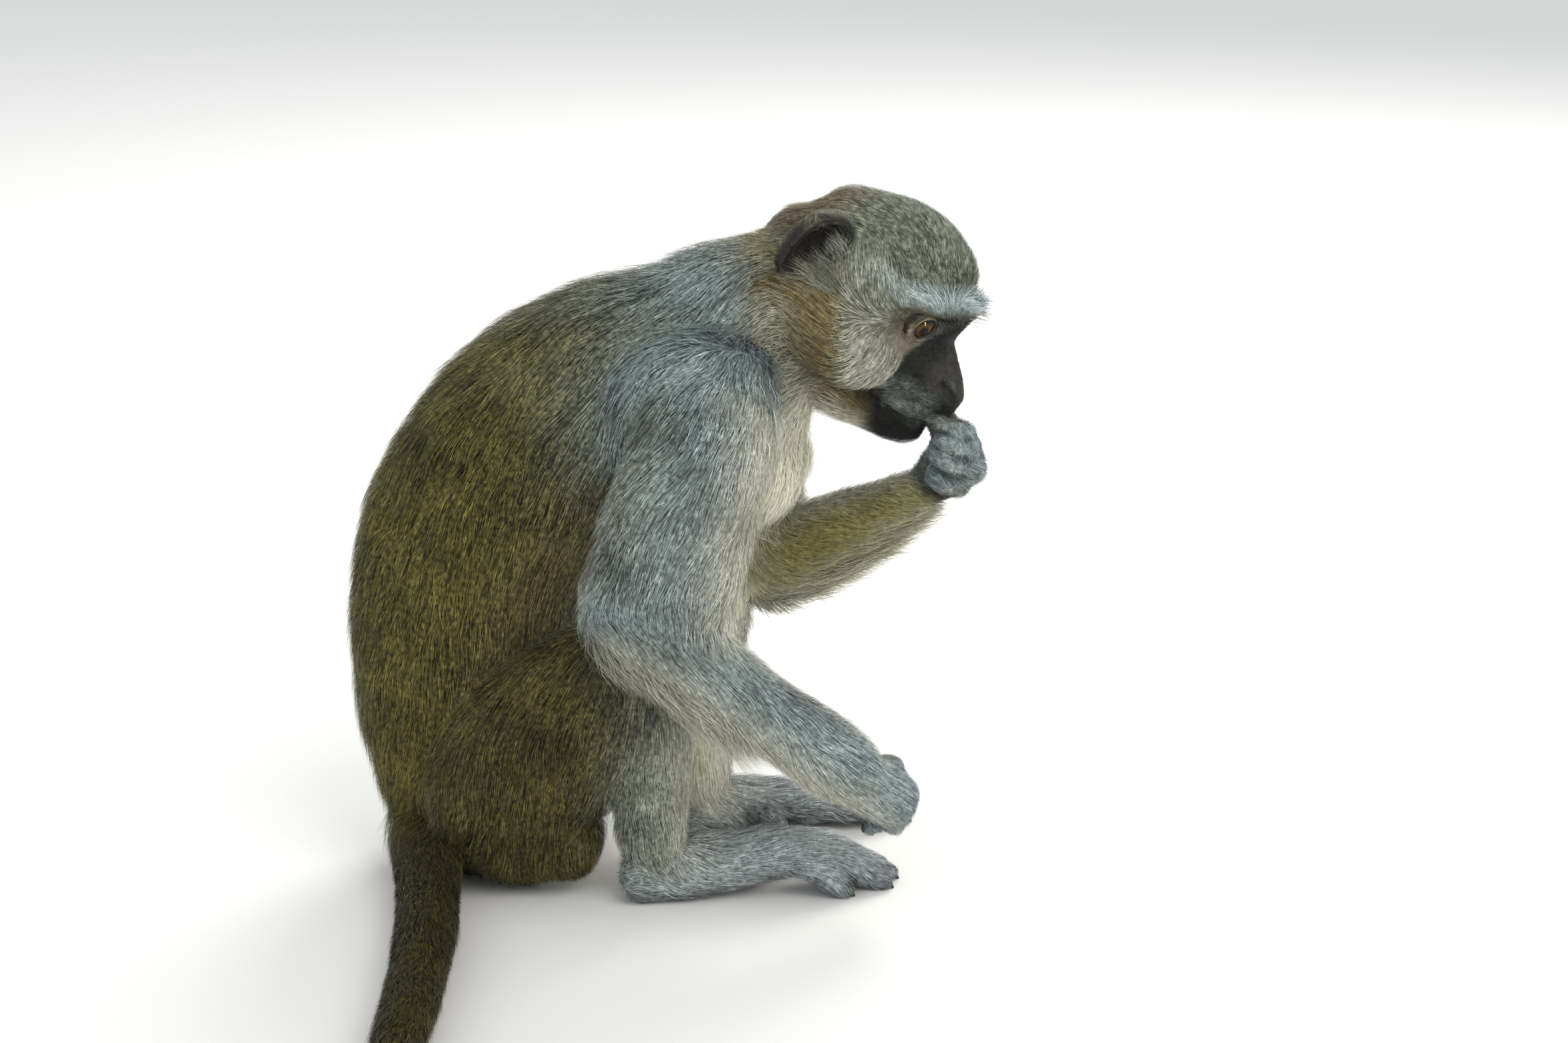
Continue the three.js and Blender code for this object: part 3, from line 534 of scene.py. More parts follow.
# slits in the face on each side, from place to place in the head: how wide and how deep
slits = {
    "nostril": [(54.8, -9.5, -6.8), (58.6, -10, -8.2), (63, -7.5, -10.6), 2.4, 3.6],
    "mouth": [(35, -19, -28.5), (47, -15, -30), (58, -9, -28), 2, 2.2],
}


def slitShare(local):
    # 1 in the middle of a slit, 0 outside it
    deepest, share = np.zeros(len(local)), np.zeros(len(local))
    folded = np.stack([local[:, 0], -np.abs(local[:, 1]), local[:, 2]], axis=1)
    for *places, wide, deep in slits.values():
        for start, end in zip(places, places[1:]):
            start, end = np.array(start), np.array(end)
            along = np.clip((folded - start) @ (end - start) / ((end - start) @ (end - start)), 0, 1)
            off = (folded - start - along[:, None] * (end - start)) * np.array((1, 0.35, 1))
            near = smooth(1, 0.25, np.linalg.norm(off, axis=1) / wide)
            share, deepest = np.maximum(share, near), np.maximum(deepest, near * deep)
    return share, deepest


def shapeEars(local):
    # a blunt upper corner, and a fold round the hollow
    for name in ("right", "left"):
        place = np.array(headPlace.inverted() @ earPlace(name))
        off = (local - place[:3, 3]) @ place[:3, :3]
        across, rise = off[:, 0] / ear["half"][0], off[:, 2] / ear["half"][1]
        far, out = np.hypot(across, rise), off[:, 1] * sideOf[name]
        turn = np.arctan2(rise, across)
        own = smooth(1.3, 1.15, far) * smooth(-8, -5, out) * smooth(12, 10, out)
        lead, more = ear["corner"]
        point = np.maximum(np.cos(turn - math.radians(lead)), 0) ** 3
        wider = 1 + more * own * point * smooth(0.5, 0.9, far)
        share, high = ear["ridge"]
        fold = own * np.exp(-((far - share) / 0.09) ** 2)
        fold = fold * smooth(-0.6, 0.2, -np.cos(turn - math.radians(-20)))
        off[:, 0], off[:, 2] = off[:, 0] * wider, off[:, 2] * wider
        off[:, 1] += high * fold * sideOf[name]
        lead, more = ear["held"]
        held = own * smooth(-0.2, 0.85, np.cos(turn - math.radians(lead))) * smooth(0.4, 0.85, far)
        off[:, 1] -= np.maximum(out, 0) * held * more * sideOf[name]
        local = np.where(own[:, None] > 0, off @ place[:3, :3].T + place[:3, 3], local)
    return local


def carveFace(points):
    # pockets for the eyes, the nostrils and the mouth
    local = shapeEars(inHead(points))
    for name in ("right", "left"):
        middle, out, corner, up = (np.array(v) for v in eyeFrame(name))
        off = local - middle
        far = np.linalg.norm(off, axis=1)
        way = off / far[:, None]
        ahead = way @ out
        x, y = way @ corner / np.maximum(ahead, 0.05) * 9, way @ up / np.maximum(ahead, 0.05) * 9
        size = np.where(y > 0, lids["half"][1], lids["half"][2])
        inside = (ahead > 0.2) & (far < 16)
        opening = np.sqrt((x / (lids["half"][0] + 1.5)) ** 2 + (y / (size + 2)) ** 2)
        opening = np.where(inside, opening, 9)
        pocket = smooth(1.35, 0.95, opening)
        target = far + (lids["pocket"] - far) * pocket
        local = middle + way * target[:, None]
    share, deep = slitShare(local)
    local = local - unit(local - np.array((30, 0, -16))) * deep[:, None]
    return outOfHead(local)


where = readOut(monkeySkin.data.vertices, "co", 3)
local = inHead(where)
face = (local[:, 0] > -50) & (np.abs(local[:, 1]) < 60) & (np.abs(local[:, 2]) < 60)
where[face] = carveFace(where[face])
where[:, 2] = np.maximum(where[:, 2], 0.0004)
monkeySkin.data.vertices.foreach_set("co", where.ravel())
monkeySkin.data.update()
normal = readOut(monkeySkin.data.vertex_normals, "vector", 3)


# each tone is the dark and the pale of its hairs, as they look on screen, and how mottled they stand
tones = {
    "back": ((24, 22, 8), (124, 117, 61), 0.9),
    "rump": ((24, 21, 4), (112, 98, 35), 0.9),
    "shoulder": ((46, 52, 54), (172, 188, 187), 0.65),
    "nape": ((56, 49, 37), (146, 133, 106), 0.5),
    "flank": ((44, 38, 21), (144, 133, 88), 0.7),
    "cream": ((212, 207, 180), (255, 253, 240), 0.2),
    "armGrey": ((56, 62, 60), (178, 191, 189), 0.55),
    "armPale": ((156, 154, 137), (238, 236, 220), 0.35),
    "armInner": ((118, 113, 66), (214, 208, 134), 0.4),
    "thigh": ((20, 18, 6), (112, 104, 58), 0.9),
    "shin": ((63, 68, 60), (184, 190, 174), 0.65),
    "hand": ((54, 63, 67), (198, 213, 213), 0.45),
    "foot": ((88, 95, 97), (230, 238, 237), 0.45),
    "toe": ((40, 43, 45), (186, 194, 196), 0.45),
    "tail": ((18, 15, 3), (94, 84, 31), 0.8),
    "tailUnder": ((90, 80, 56), (168, 154, 118), 0.4),
    "crown": ((25, 26, 22), (174, 181, 160), 0.62),
    "temple": ((66, 70, 58), (190, 195, 174), 0.6),
    "cheek": ((98, 97, 83), (220, 220, 203), 0.5),
    "buff": ((64, 54, 27), (150, 132, 78), 0.5),
    "browBand": ((108, 122, 122), (234, 248, 246), 0.4),
    "browUnder": ((34, 34, 30), (104, 104, 94), 0.5),
    "face": ((3, 4, 4), (29, 33, 32), 0.5),
    "lip": ((36, 38, 37), (134, 141, 135), 0.5),
    # the nose tone is a painted highlight, paler than the black of the face
    "nose": ((30, 29, 27), (86, 82, 77), 0.4),
    "eyeRound": ((60, 55, 44), (140, 132, 110), 0.3),
    "pouch": ((100, 91, 76), (174, 162, 140), 0.2),
    "earSkin": ((17, 15, 15), (72, 68, 66), 0.3),
    "wrist": ((22, 17, 13), (60, 49, 40), 0.4),
}


def linear(colour):
    c = np.array(colour, float) / 255
    return np.where(c < 0.04045, c / 12.92, ((c + 0.055) / 1.055) ** 2.4)


toneTable = {name: (linear(dark), linear(pale), mottle) for name, (dark, pale, mottle) in tones.items()}


def waves(points, size, seed):
    # soft bumps about a size in mm across, the same each time
    dice = np.random.default_rng(seed)
    total = np.zeros(len(points))
    for _ in range(7):
        way = dice.normal(size=3)
        ripple = points @ way * (3.2 / (size * mm)) / np.linalg.norm(way) * dice.uniform(0.6, 1.5)
        total += np.sin(ripple + dice.uniform(0, 6.3))
    return total / 2.6


coatWays = ("dark", "pale", "lie")         # three numbers at each point
coatSizes = ("hair", "lift", "mottle")     # one number at each point


class Coat:
    # what the coat is like at each point of the skin
    def __init__(self, count):
        self.dark, self.pale = np.zeros((count, 3)), np.zeros((count, 3))
        self.hair, self.lift, self.lie = np.zeros(count), np.zeros(count), np.zeros((count, 3))
        self.mottle = np.zeros(count)

    def paint(self, tone, share):
        dark, pale, mottle = toneTable[tone]
        self.mottle += (mottle - self.mottle) * share
        share = np.broadcast_to(share, len(self.dark))[:, None]
        self.dark += (dark - self.dark) * share
        self.pale += (pale - self.pale) * share

    def comb(self, lie, share):
        share = np.broadcast_to(share, len(self.lie))[:, None]
        self.lie += (np.array(lie) - self.lie) * share

    def cut(self, hair, lift, share):
        self.hair += (hair - self.hair) * share
        self.lift += (lift - self.lift) * share


def limbCoat(limb, at, t, turn, tangent, facing):
    # one limb's own markings, length and lie of hair
    coat = Coat(len(at))
    name, paint = limb.name, coat.paint
    ahead, aside, top = facing.T
    up, inner = np.sin(turn), aside * (1 if name.startswith("right") else -1)
    ragged = waves(at, 9, 11) * 0.06
    if name == "torso":
        paint("back", 1)
        paint("rump", smooth(0.3, 0.02, t + ragged))
        paint("shoulder", smooth(0.55, 0.78, t + ragged))
        paint("nape", smooth(0.86, 0.95, t + ragged))
        paint("buff", smooth(0.75, 0.88, t) * smooth(0.45, 0, up))
        paint("flank", smooth(0.1, -0.3, up + ragged) * smooth(0.9, 0.5, t))
        paint("cream", smooth(-0.55, -0.85, up + ragged * 0.5))
        paint("cream", smooth(0.76, 0.88, t) * smooth(-0.05, -0.5, up + ragged) * 0.75)
    elif name == "chestFront":
        paint("cream", 1)
    elif "Shoulder" in name:
        paint("shoulder", 1)
    elif "UpperArm" in name:
        paint("armGrey", 1)
        paint("shoulder", smooth(0.6, 0, t))
        rear = smooth(0.2, -0.7, ahead) * smooth(0.2, -0.2, inner)
        paint("back", rear * smooth(1, 0.7, t) * 0.5)
        # the front of the upper arm is paler: partly its own pale fur, partly a painted highlight where
        # the light falls
        paint("armPale", smooth(0.15, 0.75, ahead + ragged))
        paint("cream", smooth(0.2, 0.75, inner + ragged))
    elif "Forearm" in name:
        paint("armGrey", 1)
        paint("back", smooth(0.1, 0.6, waves(at, 24, 19)) * smooth(0.6, 0.1, t) * 0.3)
        paint("hand", 0.3 + 0.7 * smooth(0.4, 0.9, t))
        paint("armPale", smooth(0.1, -0.6, top + ragged))
        paint("armPale", smooth(-0.1, 0.5, inner + ragged))
        if name == "leftForearm":
            within = smooth(-0.2, 0.4, inner) * smooth(0.85, 0.3, top)
            paint("armInner", within * smooth(-0.9, -0.55, top))
            paint("cream", smooth(-0.3, -0.75, top) * 0.8)
            # the top of the far forearm is paler: partly its own pale fur, partly a painted highlight
            # on its lit top
            paint("armPale", smooth(0.5, 0.85, top))
            paint("wrist", smooth(0.74, 0.82, t + ragged) * smooth(0.5, 0.1, top))
    elif "Thigh" in name or "Seat" in name:
        paint("thigh", 1)
        paint("shin", smooth(0.8, 1, t) * smooth(-0.2, 0.6, ahead) * ("Thigh" in name))
        paint("cream", smooth(0.4, 0.9, inner + ragged))
    elif "Shin" in name:
        paint("shin", 1)
        paint("thigh", smooth(0.35, 0, t) * smooth(0.3, -0.5, ahead))
        # the front of the shin is paler: partly its own pale fur, partly a painted highlight where the
        # light falls
        paint("armPale", smooth(0.1, 0.7, ahead + ragged) * 0.8)
        paint("cream", smooth(0.4, 0.9, inner + ragged))
    elif name == "tail":
        paint("tail", 1)
        paint("tailUnder", smooth(0.0, -0.6, top + ragged))
        paint("tailUnder", smooth(0.12, 0, t) * 0.6)
    elif "Palm" in name or "Finger" in name or "Thumb" in name:
        paint("hand", 1)
        paint("toe", smooth(0.55, 1, t) * ("Finger" in name) * 0.4)
        paint("armPale", smooth(-0.3, -0.8, top + ragged) * 0.5)
        if name == "leftPalm":
            paint("wrist", smooth(0.5, 0.25, t) * smooth(0.3, -0.2, top))
    elif "Sole" in name:
        paint("foot", 1)
        paint("toe", smooth(-0.3, -0.8, top))
    elif "Toe" in name or "Hallux" in name:
        paint("toe", 1)
        paint("foot", smooth(0.85, 0.3, t) * ("Toe" in name) * smooth(-0.4, 0.2, top))
    else:
        paint("cheek", 1)
    coat.hair[:], coat.lift[:] = limb.hair, limb.lift
    if "Forearm" in name:
        coat.cut(27, 0.4, smooth(0.45, 0.9, -up) * smooth(0.78, 0.5, t))
    if "Thigh" in name:
        coat.cut(26, 0.34, smooth(0.7, 0.95, -top) * 0.7)
    coat.lie[:] = tangent * limb.lie[0] + np.array(limb.lie[1:])
    if "Palm" in name or "Finger" in name or "Thumb" in name:
        coat.comb(hands["left" if name.startswith("left") else "right"]["comb"], 0.75)
    return coat


def headCoat(coat, at, share):
    # the face, crown, cheeks and brow, painted and combed in the head's own directions
    x, y, z = inHead(at).T
    a = np.abs(y)
    turned = np.array(headPlace)[:3, :3]
    ragged = waves(at, 5, 3)

    def comb(lie, amount):
        lies = np.array(np.broadcast_arrays(*lie)).T
        coat.lie[:] += ((lies @ turned.T) - coat.lie) * (amount * share)[:, None]

    def paint(tone, amount):
        coat.paint(tone, amount * share)

    def cut(hair, lift, amount):
        coat.cut(hair, lift, amount * share)

    bandHeight = 19 + 9 * smooth(15, 48, x)
    paint("temple", 1)
    comb((-1, 0, np.clip(x / 28, -1, 1) * 0.8), 1)
    cut(8.5, 0.3, 1)
    crown = smooth(-2, 4, z - bandHeight - 3 + ragged * 1.2) * smooth(-52, -30, x + z * 0.2)
    paint("crown", crown)
    cut(5, 0.4, crown)
    nape = smooth(-26, -40, x - z * 0.35)
    paint("nape", nape * smooth(0, 15, z))
    cut(12, 0.26, nape)
    comb((-0.6, 0, -1), nape)
    lower = smooth(14, 2, z)
    cheek = lower * smooth(-34, -10, x)
    paint("cheek", cheek)
    # the pale tuft beside the face hangs down, and the buff hair behind it sweeps up to the ear
    tuftEnd = np.interp(z, (-28, -24.4, -22.5, -15, -3.4, 8), (40, 32, 22, 18, 8, -4))
    tuft = smooth(-3, 2, x - tuftEnd + ragged * 1.5)
    comb((-0.95, y * 0.006, 0.16), cheek)
    comb((-0.3 + 0.45 * smooth(22, 36, x), y * 0.004, -0.95), tuft * lower)
    cut(15, 0.32, cheek * smooth(34, 26, x))
    paint("buff", smooth(0.9, 0.1, tuft) * smooth(12, -2, z + ragged * 2))
    paint("buff", smooth(-24, -34, z + ragged) * smooth(44, 24, x) * 0.6)
    paint("cream", smooth(-35, -45, z + ragged) * smooth(44, 34, x) * 0.85)
    side = smooth(24, 30, a) * smooth(20, 12, x) * smooth(-4, 8, z) * smooth(36, 28, z)
    comb((-0.7, 0, 0.75), side)
    cut(12, 0.36, side)
    band = smooth(6.5, 3.5, np.abs(z - bandHeight + ragged * 0.8)) * smooth(-4, 16, x + a * 0.2)
    paint("browBand", band * (0.35 + 0.65 * smooth(10, 30, x)))
    streak = smooth(2.6, 0.6, np.abs(z - bandHeight - 6 - ragged)) * smooth(0, 7, x) * smooth(26, 16, x)
    paint("browUnder", streak * smooth(16, 22, a) * 0.6)
    ahead = smooth(20, 8, a)
    comb((-0.4 + 1.3 * ahead, y * 0.02, 0.45), band * smooth(12, 26, x))
    cut(9.5, 0.46, band * smooth(12, 30, x))
    under = smooth(36, 42, x) * smooth(bandHeight - 3, bandHeight - 6, z) * smooth(6, 14, z)
    paint("browUnder", under)
    fromEye = np.linalg.norm(np.array((x - 30, a - 20, (z - 9.5) * 0.95)), axis=0)
    around = smooth(14, 10, fromEye) * smooth(22, 18, z)
    paint("eyeRound", around * 0.85)
    cut(2.4, 0.25, around)
    pouch = around * smooth(7, 4, z)
    paint("pouch", pouch * 0.85)
    # the black of the face: how far back it reaches at each height, and up between the eyes
    edge = np.interp(z, (-46, -38, -31, -22, -1, 4, 11, 15, 20), (47, 34, 29, 37, 35, 37, 41.5, 44, 60))
    softly = 1.6 + 6 * smooth(-26, -34, z)
    black = smooth(-softly, softly, x - edge + ragged * 1.3)
    black = np.maximum(black, smooth(7, 4.5, a) * smooth(38, 42, x) * smooth(17, 14, z))
    paint("face", black)
    muzzle = smooth(28, 40, x) * smooth(10, 4, z)
    comb((-1, y * 0.01, -0.1), muzzle)
    cut(2, 0.24, black)
    upperLip = black * smooth(-9, -16, z + ragged) * smooth(-33, -29, z) * smooth(31, 37, x)
    paint("lip", upperLip * smooth(64, 57, x) * 0.9)
    # painted highlight: the nose is painted paler than the rest of the black face
    paint("nose", black * smooth(44, 52, x) * smooth(-16, -10, z) * 0.8)
    cut(3.6, 0.3, upperLip)
    beard = smooth(-32, -38, z) * smooth(30, 38, x)
    comb((-0.9, 0, -0.5), beard)
    cut(6, 0.36, beard)
    shadedSlit, _ = slitShare(np.stack([x, y, z], axis=1))
    # painted highlight: a paler grey rim round each nostril, on the black of the face
    nostrilRimHighlight = black * smooth(4.5, 2.6, np.linalg.norm(np.array((x - 60.5, a - 10, z + 6.4)), axis=0))
    paint("lip", nostrilRimHighlight * (1 - shadedSlit) * 0.55)
    # painted shade inside the nostrils and along the mouth: the hair in the slits is darkened nearly to
    # black
    for tone in (coat.dark, coat.pale):
        tone *= 1 - 0.95 * (shadedSlit * share)[:, None]
    coat.bare[:] = np.maximum(coat.bare, shadedSlit * share)
    for name in ("right", "left"):
        inEar = np.array(earPlace(name).inverted() @ Matrix.Scale(1 / mm, 4))
        ex, ey, ez = (at @ inEar[:3, :3].T + inEar[:3, 3]).T
        ey, far = ey * sideOf[name], np.hypot(ex / ear["half"][0], ez / ear["half"][1])
        within = smooth(1.25, 1.12, far) * smooth(-9.5, -7, ey) * smooth(11, 10, ey)
        # painted shade: the lower back of the ear, where it sinks into the neck fur, also gets the dark
        # ear skin
        lowBackShade = smooth(0.3, 0.8, np.cos(np.arctan2(ez, ex) - math.radians(215)))
        front = np.maximum(smooth(0.92, 0.87, far), smooth(5.2, 7, ey))
        hollow = within * np.maximum(front, lowBackShade * smooth(-2, 2, ey))
        paint("earSkin", hollow)
        cut(5, 0.3, hollow)
        paint("temple", (within - hollow) * 0.5)
        cut(6, 0.3, within - hollow)
        coat.bare[:] = np.maximum(coat.bare, hollow * share * 0.55)
        coat.hollow[:] = np.maximum(coat.hollow, hollow * share)
    coat.bare[:] = np.maximum(coat.bare, share * pouch * 0.75)
    return black * share


blend = {"body": 0.0035, "small": 0.0016, "least": 0.02}  # how far coats run into each other


def dressed(at, facing):
    # blends the limbs' coats, so that one runs into the next
    gaps, places = [], []
    for limb in limbs:
        gap, t, turn, tangent = limb.measure(at)
        gaps.append(gap)
        places.append((t, turn, tangent))
    gaps = np.array(gaps)
    nearest = gaps.argmin(axis=0)
    least = gaps.min(axis=0)
    coat = Coat(len(at))
    coat.bare, coat.hollow = np.zeros(len(at)), np.zeros(len(at))
    total, headShare = np.zeros(len(at)), np.zeros(len(at))
    for i, limb in enumerate(limbs):
        closeness = np.exp(-(gaps[i] - least) / blend["body" if i < bodyCount else "small"])
        few = closeness > blend["least"]
        if not few.any():
            continue
        t, turn, tangent = (value[few] for value in places[i])
        own = limbCoat(limb, at[few], t, turn, tangent, facing[few])
        weight = closeness[few]
        total[few] += weight
        for field in coatWays:
            getattr(coat, field)[few] += getattr(own, field) * weight[:, None]
        for field in coatSizes:
            getattr(coat, field)[few] += getattr(own, field) * weight
        if limb.name in headParts:
            headShare[few] += weight
    for field in coatWays:
        getattr(coat, field)[:] /= total[:, None]
    for field in coatSizes:
        getattr(coat, field)[:] /= total
    headShare /= total
    x, y, z = inHead(at).T
    ears = (np.abs(y) > 30) & (np.abs(x + 26) < 20) & (np.abs(z - 15) < 24)
    headShare[ears] = 1
    for name in ("right", "left"):
        # painted shade in the creases between the fingers: the hair there is darkened, and shorter
        fingers = [limbNames.index(f"{name}Finger{index}") for index in range(4)]
        first, second = np.sort(gaps[fingers], axis=0)[:2]
        shadedCrease = smooth(0.0034, 0.001, second - first) * smooth(0.002, 0.0008, first - least)
        shadedCrease *= smooth(-0.9, 0.1, waves(at, 7, 17))
        coat.dark *= 1 - 0.85 * shadedCrease[:, None]
        coat.pale *= 1 - 0.8 * shadedCrease[:, None]
        coat.hair *= 1 - 0.45 * shadedCrease
    coat.face = np.zeros(len(at))
    some = headShare > 0.01
    part = Coat(0)
    for field in (*coatWays, *coatSizes, "bare", "hollow"):
        setattr(part, field, getattr(coat, field)[some])
    coat.face[some] = headCoat(part, at[some], headShare[some])
    for field in (*coatWays, *coatSizes, "bare", "hollow"):
        getattr(coat, field)[some] = getattr(part, field)
    coat.nearest, coat.places, coat.headShare = nearest, places, headShare
    return coat


def evenOut(values, edges, rounds):
    # each point takes after its neighbours, for its own number of rounds
    count = len(values)
    start, end = np.concatenate([edges, edges[:, ::-1]]).T
    neighbours = np.bincount(start, minlength=count)[:, None]
    for turn in range(int(rounds.max())):
        total = np.stack([np.bincount(start, column[end], count) for column in values.T], axis=1)
        values = np.where((rounds > turn)[:, None], (values + total / neighbours) / 2, values)
    return values


# how many rounds even out the way hair lies, the body's markings, and length and lift
evening = {"head": 8, "short": 16, "long": 70, "markings": 45, "sizes": 12}


coat = dressed(where, normal)
edges = readOut(monkeySkin.data.edges, "vertices", 2, int)
rounds = np.where(coat.hair < 9, evening["short"], evening["long"])
rounds = np.where(coat.headShare > 0.3, evening["head"], rounds)
coat.lie = evenOut(unit(coat.lie), edges, rounds)
softer = np.where(rounds == evening["long"], evening["markings"], 0)
for field in ("dark", "pale"):
    setattr(coat, field, evenOut(getattr(coat, field), edges, softer))
rounds = np.minimum(rounds, evening["sizes"])
sizes = evenOut(np.stack([coat.hair, coat.lift], axis=1), edges, rounds)
coat.hair, coat.lift = sizes.T
skinTree = KDTree(len(where))
for number, point in enumerate(where):
    skinTree.insert(point, number)
skinTree.balance()


def dotted(one, other):
    return np.einsum("ij,ij->i", one, other)


def followBody(share):
    # how a hair moves at this share of its length to keep to the body, and which way it faces there
    way = unit(coat.lie - normal * dotted(coat.lie, normal)[:, None])
    ahead = where + way * (coat.hair * mm * share)[:, None]
    near = np.array([skinTree.find(point)[1] for point in ahead])
    over, held = dotted(ahead - where[near], normal[near]), smooth(0.46, 0.36, coat.lift)
    alike = smooth(-0.3, 0.3, dotted(normal[near], normal)) * held
    drop = np.where(over > 0, over * alike, np.maximum(over, -coat.hair * mm * 0.5))
    return -normal[near] * drop[:, None], unit(normal + (normal[near] - normal) * alike[:, None])


guides = [followBody(share) for share in (0.45, 0.95)]
print("markings done")


def layOut():
    # one flat map of the skin: each limb is slit along its length and laid beside the last
    sizes = []
    for limb in limbs:
        around = 2 * math.pi * math.sqrt(float((limb.wide * limb.deep).mean()))
        sizes.append((around, limb.spacing * (len(limb.centre) - 1) + 0.01))
    order = sorted(range(len(limbs)), key=lambda i: -sizes[i][1])
    scale = 0.9
    while True:
        tiles, left, bottom, tall = {}, 0, 0, 0
        for i in order:
            wide, high = sizes[i][0] / scale, sizes[i][1] / scale
            if left + wide > 1:
                left, bottom, tall = 0, bottom + tall + 0.004, 0
            tiles[i] = (left, bottom, wide, high)
            left, tall = left + wide + 0.004, max(tall, high)
        if bottom + tall < 1:
            return tiles
        scale *= 1.03


tiles = layOut()
flat = np.zeros((len(where), 2))
for i in range(len(limbs)):
    own = coat.nearest == i
    t, turn, tangent = (value[own] for value in coat.places[i])
    left, bottom, wide, high = tiles[i]
    flat[own, 0] = left + (turn / (2 * math.pi) + 0.5) * wide
    flat[own, 1] = bottom + t * high


# the coat: flat strands that leave the skin, bend over and taper

growth = {
    "triangles": 1455000,
    "most": 64000,          # strands to a piece
    "patch": 0.003,         # of each strand on the flat map
    "roll": 0.4,
    "clump": 0.12,
    "length": (0.72, 0.5),  # the least share of its full length, and what chance adds
    "sway": ((7, 21, 0.14), (26, 31, 0.1)),  # size of the swirls in mm, seed and amount
    "stray": 0.13,
    # half width: share of the length, what is added, least and most
    "half": (0.0048, 0.00006, 0.00009, 0.00018),
    "wider": 1,
    "fleck": 0.0015,        # how wide the mottling is
    "fleckMix": ((12.99, 78.23, 37.72), (39.35, 11.14, 83.16)),  # its place to a number by chance
}


def densityOf(coat):
    # short hair is finer and closer; bare skin has little
    crowd = 1.6 * np.clip(9 / coat.hair, 0.5, 2.6)
    return crowd * (1 - coat.bare)


def attributeColours(mesh, name, colours, mottle=None):
    # the fourth value is how mottled it is there
    layer = mesh.color_attributes.new(name, "FLOAT_COLOR", "POINT")
    fourth = np.full(len(colours), 0.5) if mottle is None else mottle
    layer.data.foreach_set("color", np.hstack([colours, fourth[:, None]]).ravel())


def strandPiece(name, points, colours, uvs, mottle=None):
    # five points to a strand: two at the root, two half way and the tip
    count = len(points) // 5
    first = np.arange(count)[:, None] * 5
    corners = np.hstack([first + k for k in (0, 1, 3, 0, 3, 2, 2, 3, 4)])
    mesh = bpy.data.meshes.new(name)
    mesh.vertices.add(len(points))
    mesh.vertices.foreach_set("co", points.ravel())
    mesh.loops.add(corners.size)
    mesh.loops.foreach_set("vertex_index", corners.ravel())
    mesh.polygons.add(count * 3)
    mesh.polygons.foreach_set("loop_start", np.arange(count * 3) * 3)
    mesh.update(calc_edges=True)
    mesh.polygons.foreach_set("use_smooth", np.ones(count * 3, bool))
    attributeColours(mesh, "coatColour", colours, mottle)
    mesh.uv_layers.new(name="OFBake").data.foreach_set("uv", uvs[corners.ravel()].ravel())
    made = bpy.data.objects.new(name, mesh)
    bpy.context.scene.collection.objects.link(made)
    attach(made, "root")
    return made


def rootsOn(corners, where, crowd, wanted):
    # roots spread evenly by how close the hair grows
    a, b, c = (where[corners[:, k]] for k in range(3))
    area = np.linalg.norm(np.cross(b - a, c - a), axis=1) / 2
    filled = np.cumsum(area * crowd[corners].mean(axis=1))
    picks = (np.arange(wanted) + random.uniform(0, 1, wanted)) / wanted * filled[-1]
    chosen = np.searchsorted(filled, picks)
    u, v = random.uniform(0, 1, (2, wanted))
    over = u + v > 1
    u[over], v[over] = 1 - u[over], 1 - v[over]
    return chosen, np.stack([1 - u - v, u, v], axis=1)


def swirl(points, size, seed):
    return np.stack([waves(points, size, seed + k) for k in range(3)], axis=1)


